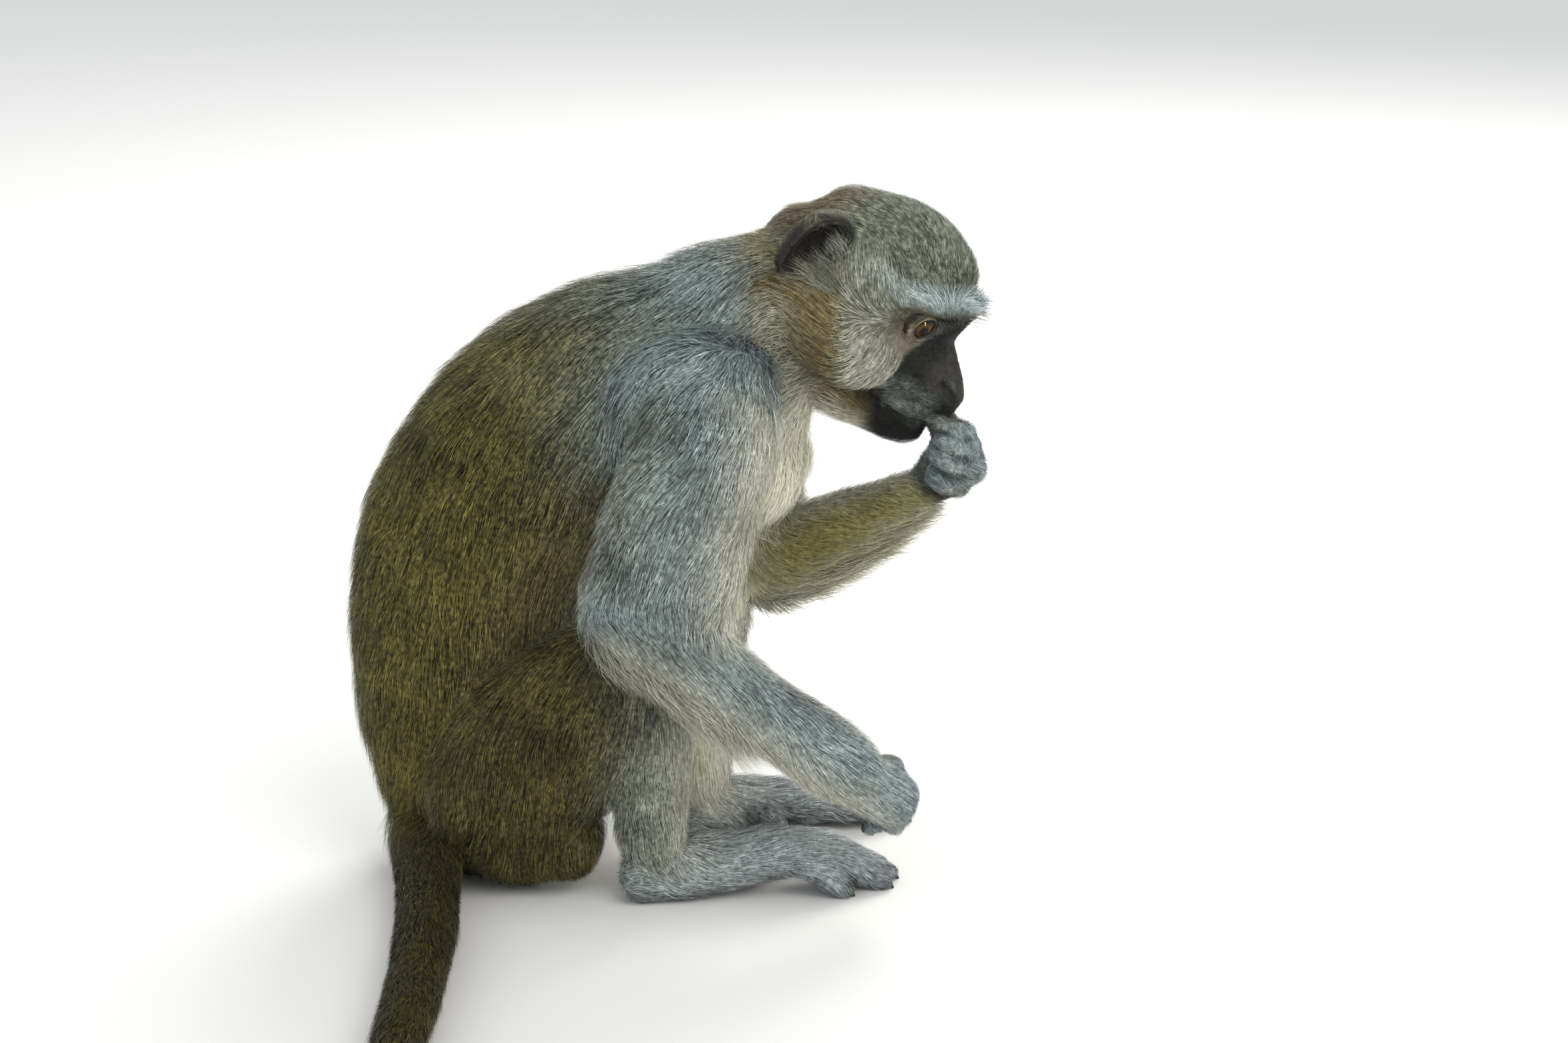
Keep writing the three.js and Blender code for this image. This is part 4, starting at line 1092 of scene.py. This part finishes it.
def grow(wanted):
    monkeySkin.data.calc_loop_triangles()
    corners = readOut(monkeySkin.data.loop_triangles, "vertices", 3, int)
    chosen, parts = rootsOn(corners, where, densityOf(coat), wanted)
    picked = corners[chosen]

    def at(values):
        weights = parts if values.ndim == 1 else parts[:, :, None]
        return (values[picked] * weights).sum(axis=1)

    root, facing = at(where), unit(at(normal))
    hair, lift, lie = at(coat.hair) * mm, at(coat.lift), at(coat.lie)
    dark, pale, face, hollow = at(coat.dark), at(coat.pale), at(coat.face), at(coat.hollow)
    chance = random.uniform(0, 1, (8, wanted))
    slope, more, least, most = growth["half"]
    wide = np.clip(slope * hair + more, least, most) * (0.7 + 0.6 * chance[0]) * growth["wider"]
    usual = hair
    least, more = growth["length"]
    hair = hair * (least + more * chance[1]) * (1 + 0.12 * waves(root, 14, 5))
    sway = sum(swirl(root, size, seed) * amount for size, seed, amount in growth["sway"])
    sway += random.normal(0, growth["stray"], (wanted, 3))
    way = unit(lie) + sway
    way = unit(way - facing * dotted(way, facing)[:, None])
    lift = lift * (0.75 + 0.5 * chance[2])
    rise = (hair * lift)[:, None]
    run = way * (hair * np.sqrt(np.maximum(1 - lift ** 2, 0.1)))[:, None]
    start = root - facing * 0.0003
    (bend, turned), (bendMore, turnedMore) = ((at(move), unit(at(faces))) for move, faces in guides)
    longer = ((hair / usual) ** 2)[:, None]
    middle = start + run * 0.46 + bend * longer + turned * rise * 0.8
    tip = start + run + bendMore * longer + turnedMore * rise * (0.85 + 0.3 * chance[3])[:, None]
    # tips of near neighbours draw together
    cell = np.clip(hair * 0.22, 0.0012, 0.004)[:, None]
    size = np.exp2(np.round(np.log2(cell / 0.001))) * 0.001
    warped = root + swirl(root, 5, 41) * 0.0008
    keys = np.hstack([np.floor(warped / size).astype(np.int64), np.round(size * 1e6).astype(np.int64)])
    _, member = np.unique(keys, axis=0, return_inverse=True)
    member = member.ravel()
    inGroup = np.bincount(member)
    centre = np.stack([np.bincount(member, tip[:, k]) / inGroup for k in range(3)], axis=1)[member]
    draw = (growth["clump"] * (0.4 + 0.8 * chance[4]))[:, None]
    tip += (centre - tip) * draw
    flecks = np.floor((root + sway * 0.001) / growth["fleck"])
    fleckShade, fleckTip = (np.sin(flecks @ np.array(mix)) * 43758.5 % 1 for mix in growth["fleckMix"])
    mottle = at(coat.mottle)
    # hairs are dark at the root, which is painted shade from the coat over them, and banded pale or
    # dark towards the tip
    roll = (chance[5] - 0.5) * 2 * growth["roll"]
    flatWay = np.cross(way, facing)
    across = flatWay * np.cos(roll)[:, None] + facing * np.sin(roll)[:, None]
    shade = 0.5 + (fleckShade - 0.5) * 1.3 * mottle + (chance[6] - 0.5) * 0.7
    shade += waves(root, 18, 8) * (0.05 + 0.12 * mottle)
    body = dark + (pale - dark) * np.clip(shade, 0, 1)[:, None]
    paleTip = (chance[7] * (1 - mottle * 0.8) + fleckTip * mottle * 0.8 < 0.5)[:, None]
    tipColour = np.where(paleTip, body * 0.35 + pale * 0.65, body * 0.5 + dark * 0.5)
    points = np.empty((wanted, 5, 3))
    edge = across * wide[:, None]
    points[:, 0], points[:, 1] = start - edge, start + edge
    points[:, 2], points[:, 3] = middle - edge * 0.8, middle + edge * 0.8
    points[:, 4] = tip
    points[:, :, 2] = np.maximum(points[:, :, 2], 0.0003)
    colours = np.empty((wanted, 5, 3))
    # painted shade: the two root points are darkened, as the coat shades its own roots
    colours[:, 0] = colours[:, 1] = body * 0.72 + dark * 0.1
    colours[:, 2] = colours[:, 3] = body
    colours[:, 4] = tipColour
    home = flat[picked[:, 0]]
    spots = np.array([(-0.5, -0.5), (0.5, -0.5), (-0.4, 0), (0.4, 0), (0, 0.5)]) * growth["patch"]
    uvs = home[:, None, :] + spots[None]
    return points, colours, np.clip(uvs, 0, 1), mottle, coat.nearest[picked[:, 0]]


coatGroups = {"trunk": trunk, "arms": arms, "legs": legs, "tail": tail, "head": headParts}
groupOf = np.full(len(limbs), 5)
for number, members in enumerate(coatGroups.values()):
    for member in members:
        groupOf[limbNames.index(member)] = number
groupNames = [*coatGroups, "hands_and_feet"]

points, colours, uvs, mottle, nearestLimb = grow(growth["triangles"] // 3)
pieceGroup = groupOf[nearestLimb]
coatPieces = []
for number, groupName in enumerate(groupNames):
    own = np.nonzero(pieceGroup == number)[0]
    lots = max(1, math.ceil(len(own) / growth["most"]))
    for lot, some in enumerate(np.array_split(own, lots)):
        rows = (values[some].reshape(-1, values.shape[-1]) for values in (points, colours, uvs))
        coatPieces.append(strandPiece(f"coat_{groupName}_{lot + 1}", *rows, np.repeat(mottle[some], 5)))
print("coat:", len(points), "strands in", len(coatPieces), "pieces")


def newMaterial(name, roughness, specular):
    material = bpy.data.materials.new(name)
    material.use_nodes = True
    shader = material.node_tree.nodes["Principled BSDF"]
    shader.inputs["Roughness"].default_value = roughness
    shader.inputs["Specular IOR Level"].default_value = specular
    return material, material.node_tree, shader


def addNode(tree, kind, values=None, operation=None):
    node = tree.nodes.new("ShaderNode" + kind)
    if operation:
        node.operation = operation
    for entry, value in (values or {}).items():
        node.inputs[entry].default_value = value
    return node


def join(tree, *links):
    for source, output, target, entry in links:
        tree.links.new(source.outputs[output], target.inputs[entry])


def addNoise(tree, scale, detail=3):
    noise = addNode(tree, "TexNoise", {"Scale": scale, "Detail": detail})
    join(tree, (addNode(tree, "TexCoord"), "Object", noise, "Vector"))
    return noise


def addCreases(tree, shader, scale, detail, strength, distance):
    bump = addNode(tree, "Bump", {"Strength": strength, "Distance": distance})
    creases = addNoise(tree, scale, detail)
    join(tree, (creases, "Fac", bump, "Height"), (bump, "Normal", shader, "Normal"))


def markedMaterial(name, roughness, specular, noiseScale, amount):
    # the markings, broken up by a fine noise where the coat is mottled
    material, tree, shader = newMaterial(name, roughness, specular)
    marking = addNode(tree, "Attribute")
    marking.attribute_name = "coatColour"
    noise = addNoise(tree, noiseScale)
    ends = {"From Min": 0.32, "From Max": 0.68, "To Min": -amount, "To Max": amount}
    spread = addNode(tree, "MapRange", ends)
    more = addNode(tree, "Math", {2: 1}, "MULTIPLY_ADD")
    scaled = addNode(tree, "VectorMath", operation="SCALE")
    join(tree, (noise, "Fac", spread, "Value"), (spread, "Result", more, 0),
         (marking, "Alpha", more, 1), (marking, "Color", scaled, 0), (more, "Value", scaled, "Scale"),
         (scaled, "Vector", shader, "Base Color"))
    return material, tree, shader


def coverWith(material, piece):
    piece.data.materials.clear()
    piece.data.materials.append(material)
    piece.data.polygons.foreach_set("use_smooth", np.ones(len(piece.data.polygons), bool))


coatMaterial, tree, shader = markedMaterial("coat hair", 0.6, 0.22, 440, 0.85)
shader.inputs["Sheen Weight"].default_value = 0.05
shader.inputs["Sheen Roughness"].default_value = 0.5
skinMaterial, tree, shader = markedMaterial("skin", 0.62, 0.35, 420, 0.6)
addCreases(tree, shader, 900, 5, 0.5, 0.0006)

skinColour = (coat.dark * 0.6 + coat.pale * 0.4) * 0.8
attributeColours(monkeySkin.data, "coatColour", skinColour, coat.mottle)
coverWith(skinMaterial, monkeySkin)
for piece in coatPieces:
    piece.data.materials.append(coatMaterial)
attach(monkeySkin, "root")
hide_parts(*[node for node in frame["nodes"] if not node.endswith("_eye")])

# each eye is a ball with a raised clear front over an amber iris

gaze = {"right": (46, 5), "left": (-14, 5)}  # degrees towards the outer corner, and down
iris = {
    "bulge": 0.8, "half": 31, "segments": 56,
    # share of the way out from the middle of the pupil, and the colour there
    "stops": [(0, (0.001, 0.001, 0.001)), (0.22, (0.0015, 0.001, 0.001)),
              (0.245, (0.03, 0.013, 0.004)), (0.32, (0.095, 0.045, 0.008)),
              (0.42, (0.05, 0.022, 0.004)), (0.47, (0.01, 0.006, 0.004)),
              (0.54, (0.014, 0.01, 0.008)), (0.8, (0.03, 0.022, 0.018))],
}


def eyeMatrix(name):
    middle, out, corner, up = eyeFrame(name, *gaze[name])
    return headPlace @ Matrix.Translation(middle) @ out.to_track_quat("Z", "Y").to_matrix().to_4x4()


def eyeMaterial(name):
    material, tree, shader = newMaterial(name + " eye", 0.3, 0)
    shader.inputs["Coat Weight"].default_value = 0.4
    shader.inputs["Coat Roughness"].default_value = 0.03
    place = Matrix.Scale(mm, 4) @ eyeMatrix(name)
    turn = place.to_quaternion().inverted()
    where = addNode(tree, "TexCoord")
    moves = {"Rotation": turn.to_euler("XYZ"), "Location": -(turn @ place.to_translation())}
    centred = addNode(tree, "Mapping", moves)
    flatten = addNode(tree, "VectorMath", {1: (1, 1, 0)}, "MULTIPLY")
    length = addNode(tree, "VectorMath", operation="LENGTH")
    share = addNode(tree, "Math", {1: eye["radius"] * mm}, "DIVIDE")
    ramp = addNode(tree, "ValToRGB")
    for number, (at, colour) in enumerate(iris["stops"]):
        stop = ramp.color_ramp.elements[number] if number < 2 else ramp.color_ramp.elements.new(at)
        stop.position, stop.color = at, (*colour, 1)
    around = addNode(tree, "VectorMath", operation="NORMALIZE")
    streaks = addNode(tree, "TexNoise", {"Scale": 9, "Detail": 4})
    spread = addNode(tree, "MapRange", {"To Min": 0.35, "To Max": 1.6})
    tint = addNode(tree, "VectorMath", operation="SCALE")
    join(tree, (where, "Object", centred, "Vector"), (centred, "Vector", flatten, 0),
         (flatten, "Vector", length, 0), (length, "Value", share, 0), (share, "Value", ramp, "Fac"),
         (flatten, "Vector", around, 0), (around, "Vector", streaks, "Vector"),
         (streaks, "Fac", spread, "Value"), (spread, "Result", tint, "Scale"),
         (ramp, "Color", tint, 0), (tint, "Vector", shader, "Base Color"))
    return material


for name in ("right", "left"):
    bm, steps = bmesh.new(), iris["segments"]
    bmesh.ops.create_uvsphere(bm, u_segments=steps, v_segments=steps, radius=eye["radius"])
    for v in bm.verts:
        turn = math.degrees(math.acos(max(-1, min(1, v.co.z / eye["radius"]))))
        v.co *= 1 + iris["bulge"] / eye["radius"] * float(smooth(iris["half"], 6, turn))
    bmesh.ops.transform(bm, matrix=Matrix.Scale(mm, 4) @ eyeMatrix(name), verts=bm.verts)
    eyeball = meshObject(name + "_eyeball", bm)
    coverWith(eyeMaterial(name), eyeball)
    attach(eyeball, "root")
    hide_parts(name + "_eye")

# lids: a soft ring over the ball, thick at its edge, with a pouch below, that sinks into the face
# share of the opening, radius above and below, and the colours above and below the eye
# the lid colours hold painted light: above the eye, the darker band outside the pale lid line is
# painted crease shade; below it, the pale crescent on the pouch is partly a painted highlight, and the
# darker bands on either side of it are painted crease shade
lidRings = [
    (0.97, 8.85, 8.85, (8, 7, 6), (8, 7, 6)),
    (1.0, 9.35, 9.25, (10, 8, 7), (16, 13, 12)),
    (1.06, 9.6, 9.5, (22, 18, 14), (44, 35, 31)),
    (1.16, 9.75, 9.6, (128, 115, 80), (112, 98, 84)),
    (1.3, 9.6, 9.5, (112, 100, 70), (88, 76, 66)),
    (1.55, 10.1, 10.4, (76, 70, 54), (138, 126, 108)),
    (1.85, 10.4, 10.7, (86, 83, 67), (124, 113, 96)),
    (2.2, 10.2, 10.2, (92, 91, 76), (62, 57, 50)),
    (2.4, 8.4, 8.4, (70, 68, 56), (50, 46, 41)),
    (1.6, 8, 8, (8, 7, 6), (8, 7, 6)),
    (0.97, 8.85, 8.85, (8, 7, 6), (8, 7, 6)),
]


def lidColour(row, upper):
    return linear(lidRings[row][4]) * (1 - upper) + linear(lidRings[row][3]) * upper


def lidPoint(name, turn, row):
    low = min(int(row), len(lidRings) - 2)
    part, upper = row - low, float(smooth(-0.4, 0.4, math.sin(turn)))
    sizes = [(ring[0], ring[2] + (ring[1] - ring[2]) * upper) for ring in lidRings[low:low + 2]]
    share, radius = (one + (other - one) * part for one, other in zip(*sizes))
    wide, above, below = lids["half"]
    x, y = wide * math.cos(turn), math.sin(turn)
    y = (above if y > 0 else below) * math.copysign(abs(y) ** 1.1, y)
    wider = 1 + (share - 1) * 0.55
    middle, out, corner, up = eyeFrame(name)
    tilt = math.radians(lids["tilt"])
    x, y = x * wider, y * share
    x, y = x * math.cos(tilt) - y * math.sin(tilt), x * math.sin(tilt) + y * math.cos(tilt)
    return middle + (out * 9 + corner * x + up * y).normalized() * radius


lidMaterial, tree, shader = markedMaterial("lids", 0.5, 0.4, 700, 0.5)
addCreases(tree, shader, 1500, 4, 0.6, 0.0004)
lidHairs = []  # root, way, length and colour
for name in ("right", "left"):
    for turn, row, size in zip(*random.uniform(0, 1, (3, lids["hairs"]))):
        turn, row = turn * 2 * math.pi, 4.6 + 2 * row
        start = lidPoint(name, turn, row)
        way = (lidPoint(name, turn, row + 0.4) - start).normalized()
        way = way + Vector((-0.4, 0, -0.1)) + eyeFrame(name)[1] * 0.25
        colour = lidColour(int(row), float(smooth(-0.25, 0.25, math.sin(turn))))
        lidHairs.append((start, way.normalized(), 1.2 + 1.4 * size, colour * (0.6 + 1.2 * size)))
    for turn in random.uniform(0.15, 0.85, lids["lashes"]) * math.pi:
        start = lidPoint(name, turn, 1)
        way = eyeFrame(name)[1] + (lidPoint(name, turn, 3) - start).normalized() * 0.7
        lidHairs.append((start, way.normalized(), 3.2, linear((16, 13, 11))))
    bm = bmesh.new()
    bmesh.ops.create_grid(bm, x_segments=72, y_segments=40, size=1)
    lidColours = []
    for v in bm.verts:
        turn, row = (v.co.x + 1) * math.pi, (v.co.y + 1) / 2 * (len(lidRings) - 1)
        low = min(int(row), len(lidRings) - 2)
        above, inner = smooth(-0.25, 0.25, math.sin(turn)), smooth(0.55, 0.9, -math.cos(turn))
        colour, further = lidColour(low, above), lidColour(low + 1, above)
        colour = colour + (further - colour) * (row - low)
        lidColours.append(colour + (linear((22, 19, 18)) - colour) * inner * smooth(2, 3, row) * 0.9)
        v.co = Matrix.Scale(mm, 4) @ headPlace @ lidPoint(name, turn, row)
    ring = meshObject(name + "_lids", bm)
    attributeColours(ring.data, "coatColour", np.array(lidColours))
    bm = bmesh.new()
    bm.from_mesh(ring.data)
    bmesh.ops.remove_doubles(bm, verts=bm.verts, dist=2e-6)
    bmesh.ops.recalc_face_normals(bm, faces=bm.faces)
    bm.to_mesh(ring.data)
    bm.free()
    coverWith(lidMaterial, ring)
    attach(ring, "root")
print("eyes and lids done")


claw = {
    "root": (2.6, 2.3), "half": (2, 1.8), "tip": (0.6, 0.5), "length": 5, "lift": 1.4, "end": 1.2,
    "tones": ((0.008, 0.007, 0.006), (0.05, 0.042, 0.036)),
}
nail = {"wide": 2.3, "thick": 0.7, "length": 3.2}


def clawPath(name, index):
    start, end = Vector(feet[name]["roots"][index]), Vector(feet[name]["tips"][index])
    heading = end - start
    heading.z = 0
    heading.normalize()
    back = end - heading * 1.5 + Vector((0, 0, claw["lift"]))
    middle = back + heading * claw["length"] * 0.55 + Vector((0, 0, 0.3))
    point = back + heading * claw["length"]
    point.z = claw["end"]
    return inward([(*back, *claw["root"]), (*middle, *claw["half"]), (*point, *claw["tip"])], name)


def nailPath(name, index):
    (x, y, z, thick, _), (x1, y1, z1, *_), (x2, y2, z2, *_) = fingerStations(name, index)[::-1][:3]
    tip, before, earlier = Vector((x, y, z)), Vector((x1, y1, z1)), Vector((x2, y2, z2))
    way = (tip - before).normalized()
    outer = (before - (tip + earlier) / 2).normalized()
    root = tip - way * 1.5 + outer * (thick - 1)
    middle, end = root + way * nail["length"] * 0.6, root + way * nail["length"] - outer
    wide, thin = nail["wide"], nail["thick"]
    return [(*root, wide, thin), (*middle, wide, thin), (*end, wide * 0.5, thin * 0.6)]


clawMaterial, tree, shader = newMaterial("claw", 0.32, 0.5)
ramp = addNode(tree, "ValToRGB")
for stop, colour in zip(ramp.color_ramp.elements, claw["tones"]):
    stop.color = (*colour, 1)
join(tree, (addNoise(tree, 500), "Fac", ramp, "Fac"), (ramp, "Color", shader, "Base Color"))
for name in ("right", "left"):
    place, across = footPlace(name), hands[name]["across"]
    sets = {
        "claws": [Limb("claw", clawPath(name, index), coat=0, place=place) for index in range(4)],
        "nails": [Limb("nail", nailPath(name, index), across, coat=0) for index in range(4)],
    }
    for kind, members in sets.items():
        bm = bmesh.new()
        for member in members:
            tube(bm, member.rings((0.4, 0.8)), 14)
        for v in bm.verts:
            v.co.z = max(v.co.z, 0.0003)
        made = meshObject(f"{name}_{kind}", bm)
        coverWith(clawMaterial, made)
        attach(made, "root")


# long single hairs: place in the head, how far around it, way, length, how many, shade, half width
whiskers = [
    ((46, 9, 24), 7, (1, 0.1, 0.55), 15, 34, "dark", 0.07),
    ((52, 12, -20), 5, (0.5, 0.85, -0.2), 11, 5, "pale", 0.05),
    ((44, 17, -22), 5, (-0.1, 0.95, -0.4), 12, 5, "pale", 0.05),
    ((-9, 33, 6), 7, (-0.7, 0.55, 0.4), 18, 560, "temple", 0.1),
    ((-13, 33, 21), 6, (-0.72, 0.45, 0.5), 12, 260, "temple", 0.1),
    ((-14, 34, 0), 7, (-0.85, 0.5, 0.25), 16, 420, "cheek", 0.1),
    ((-19, 34, -8), 6, (-0.9, 0.4, 0.1), 11, 240, "cheek", 0.1),
    ((-19, 37, 16), 5, (-0.6, 0.25, 0.6), 9, 240, "earFuzz", 0.08),
    ((-29, 34, 14), 8, (-0.3, 0.35, 0.8), 7, 220, "earFuzz", 0.08),
]
whiskerShades = {"dark": ((24, 22, 20), (44, 42, 38)), "pale": ((110, 110, 104), (170, 168, 160)),
                 "temple": ((84, 86, 78), (206, 208, 194)), "cheek": ((104, 96, 72), (214, 206, 178)),
                 "earFuzz": ((22, 20, 19), (104, 101, 97))}


def growWhiskers():
    rows = [(*hair, 0.07) for hair in lidHairs]
    for (x, y, z), around, way, length, number, shade, half in whiskers:
        dark, pale = (linear(colour) for colour in whiskerShades[shade])
        for name in ("right", "left"):
            side = sideOf[name]
            shift = ear["up"][name] - ear["up"]["right"] if shade in ("temple", "earFuzz") else 0
            away = np.linalg.norm(local - np.array((x, y * side, z + shift)), axis=1)
            near = np.nonzero(away < around)[0]
            for spot in random.choice(near, number):
                aim = unit(np.array((way[0], way[1] * side, way[2])) + random.normal(0, 0.16, 3))
                start = local[spot] + random.normal(0, 0.4, 3)
                reach = length * random.uniform(0.6, 1.1)
                colour = dark + (pale - dark) * random.uniform(0, 1)
                rows.append((start, aim, reach, colour, half))
    points, colours = [], []
    for start, aim, reach, colour, half in rows:
        start, aim = np.array(start), np.array(aim)
        across = unit(np.cross(aim, (0.3, 1, 0.2))) * half
        root, droop = start - aim * 0.5, np.array((-0.05, 0, -0.08)) * reach
        middle, tip = root + aim * reach * 0.5, root + aim * reach + droop
        points += [root - across, root + across, middle - across * 0.7, middle + across * 0.7, tip]
        # painted shade: each hair is darker at its two root points
        colours += [colour * 0.7] * 2 + [colour] * 3
    return outOfHead(np.array(points)), np.array(colours)


local = inHead(where)
whiskerPoints, whiskerColours = growWhiskers()
corners = [(0, 0), (0.003, 0), (0, 0.0015), (0.003, 0.0015), (0.0015, 0.003)]
count = len(whiskerPoints) // 5
step = np.repeat(np.arange(count), 5)
whiskerUv = np.tile(np.array(corners), (count, 1))
whiskerUv = whiskerUv + np.stack([step % 120, step // 120], axis=1) * 0.008 + 0.01
whiskerPiece = strandPiece("whiskers", whiskerPoints, whiskerColours, whiskerUv)
whiskerPiece.data.materials.append(coatMaterial)


view = {"at": (129.68, -1465.42, 585.36), "down": 16, "lens": 4994 / 2357 * 36}
camera = bpy.data.cameras.new("camera")
camera.lens, camera.sensor_width, camera.clip_start, camera.clip_end = view["lens"], 36, 0.05, 30
cameraObject = bpy.data.objects.new("camera", camera)
cameraObject.location = Vector(view["at"]) * mm
cameraObject.rotation_euler = (math.radians(90 - view["down"]), 0, 0)
bpy.context.scene.collection.objects.link(cameraObject)
bpy.context.scene.camera = cameraObject

bm = bmesh.new()
bmesh.ops.create_grid(bm, x_segments=1, y_segments=1, size=80)
floor = meshObject("floor", bm)
floorMaterial, tree, shader = newMaterial("pale floor", 0.9, 0.5)
shader.inputs["Base Color"].default_value = (0.8, 0.79, 0.77, 1)
floor.data.materials.append(floorMaterial)

lampsAim = Vector((0.06, -0.02, 0.14))
lamps = {
    "key": {"at": (1.0, -1.3, 1.8), "size": 1.5, "watts": 24, "tint": (1, 0.98, 0.94)},
    "fill": {"at": (-1.5, -1.3, 1.1), "size": 1.8, "watts": 9, "tint": (0.95, 0.97, 1)},
    "rim": {"at": (0.7, 1.6, 1.6), "size": 1.2, "watts": 33, "tint": (1, 0.98, 0.93)},
    "glint": {"at": (1.15, -0.75, 0.34), "size": 0.2, "watts": 4.5, "tint": (1, 1, 0.7)},
}
for name, lamp in lamps.items():
    light = bpy.data.lights.new(name, "AREA")
    light.energy, light.size, light.color = lamp["watts"], lamp["size"], lamp["tint"]
    lampObject = bpy.data.objects.new(name, light)
    lampObject.location = lamp["at"]
    # only the glint shows in the eyes, and it lights nothing else
    lampObject.visible_glossy = name == "glint"
    lampObject.visible_diffuse = name != "glint"
    aim = lampsAim - lampObject.location
    lampObject.rotation_euler = aim.to_track_quat("-Z", "Y").to_euler()
    bpy.context.scene.collection.objects.link(lampObject)
world = bpy.data.worlds.new("studio")
world.use_nodes = True
background = world.node_tree.nodes["Background"]
background.inputs["Color"].default_value = (0.92, 0.95, 0.98, 1)
background.inputs["Strength"].default_value = 0.85
bpy.context.scene.world = world
bpy.context.scene.view_settings.view_transform = "Standard"
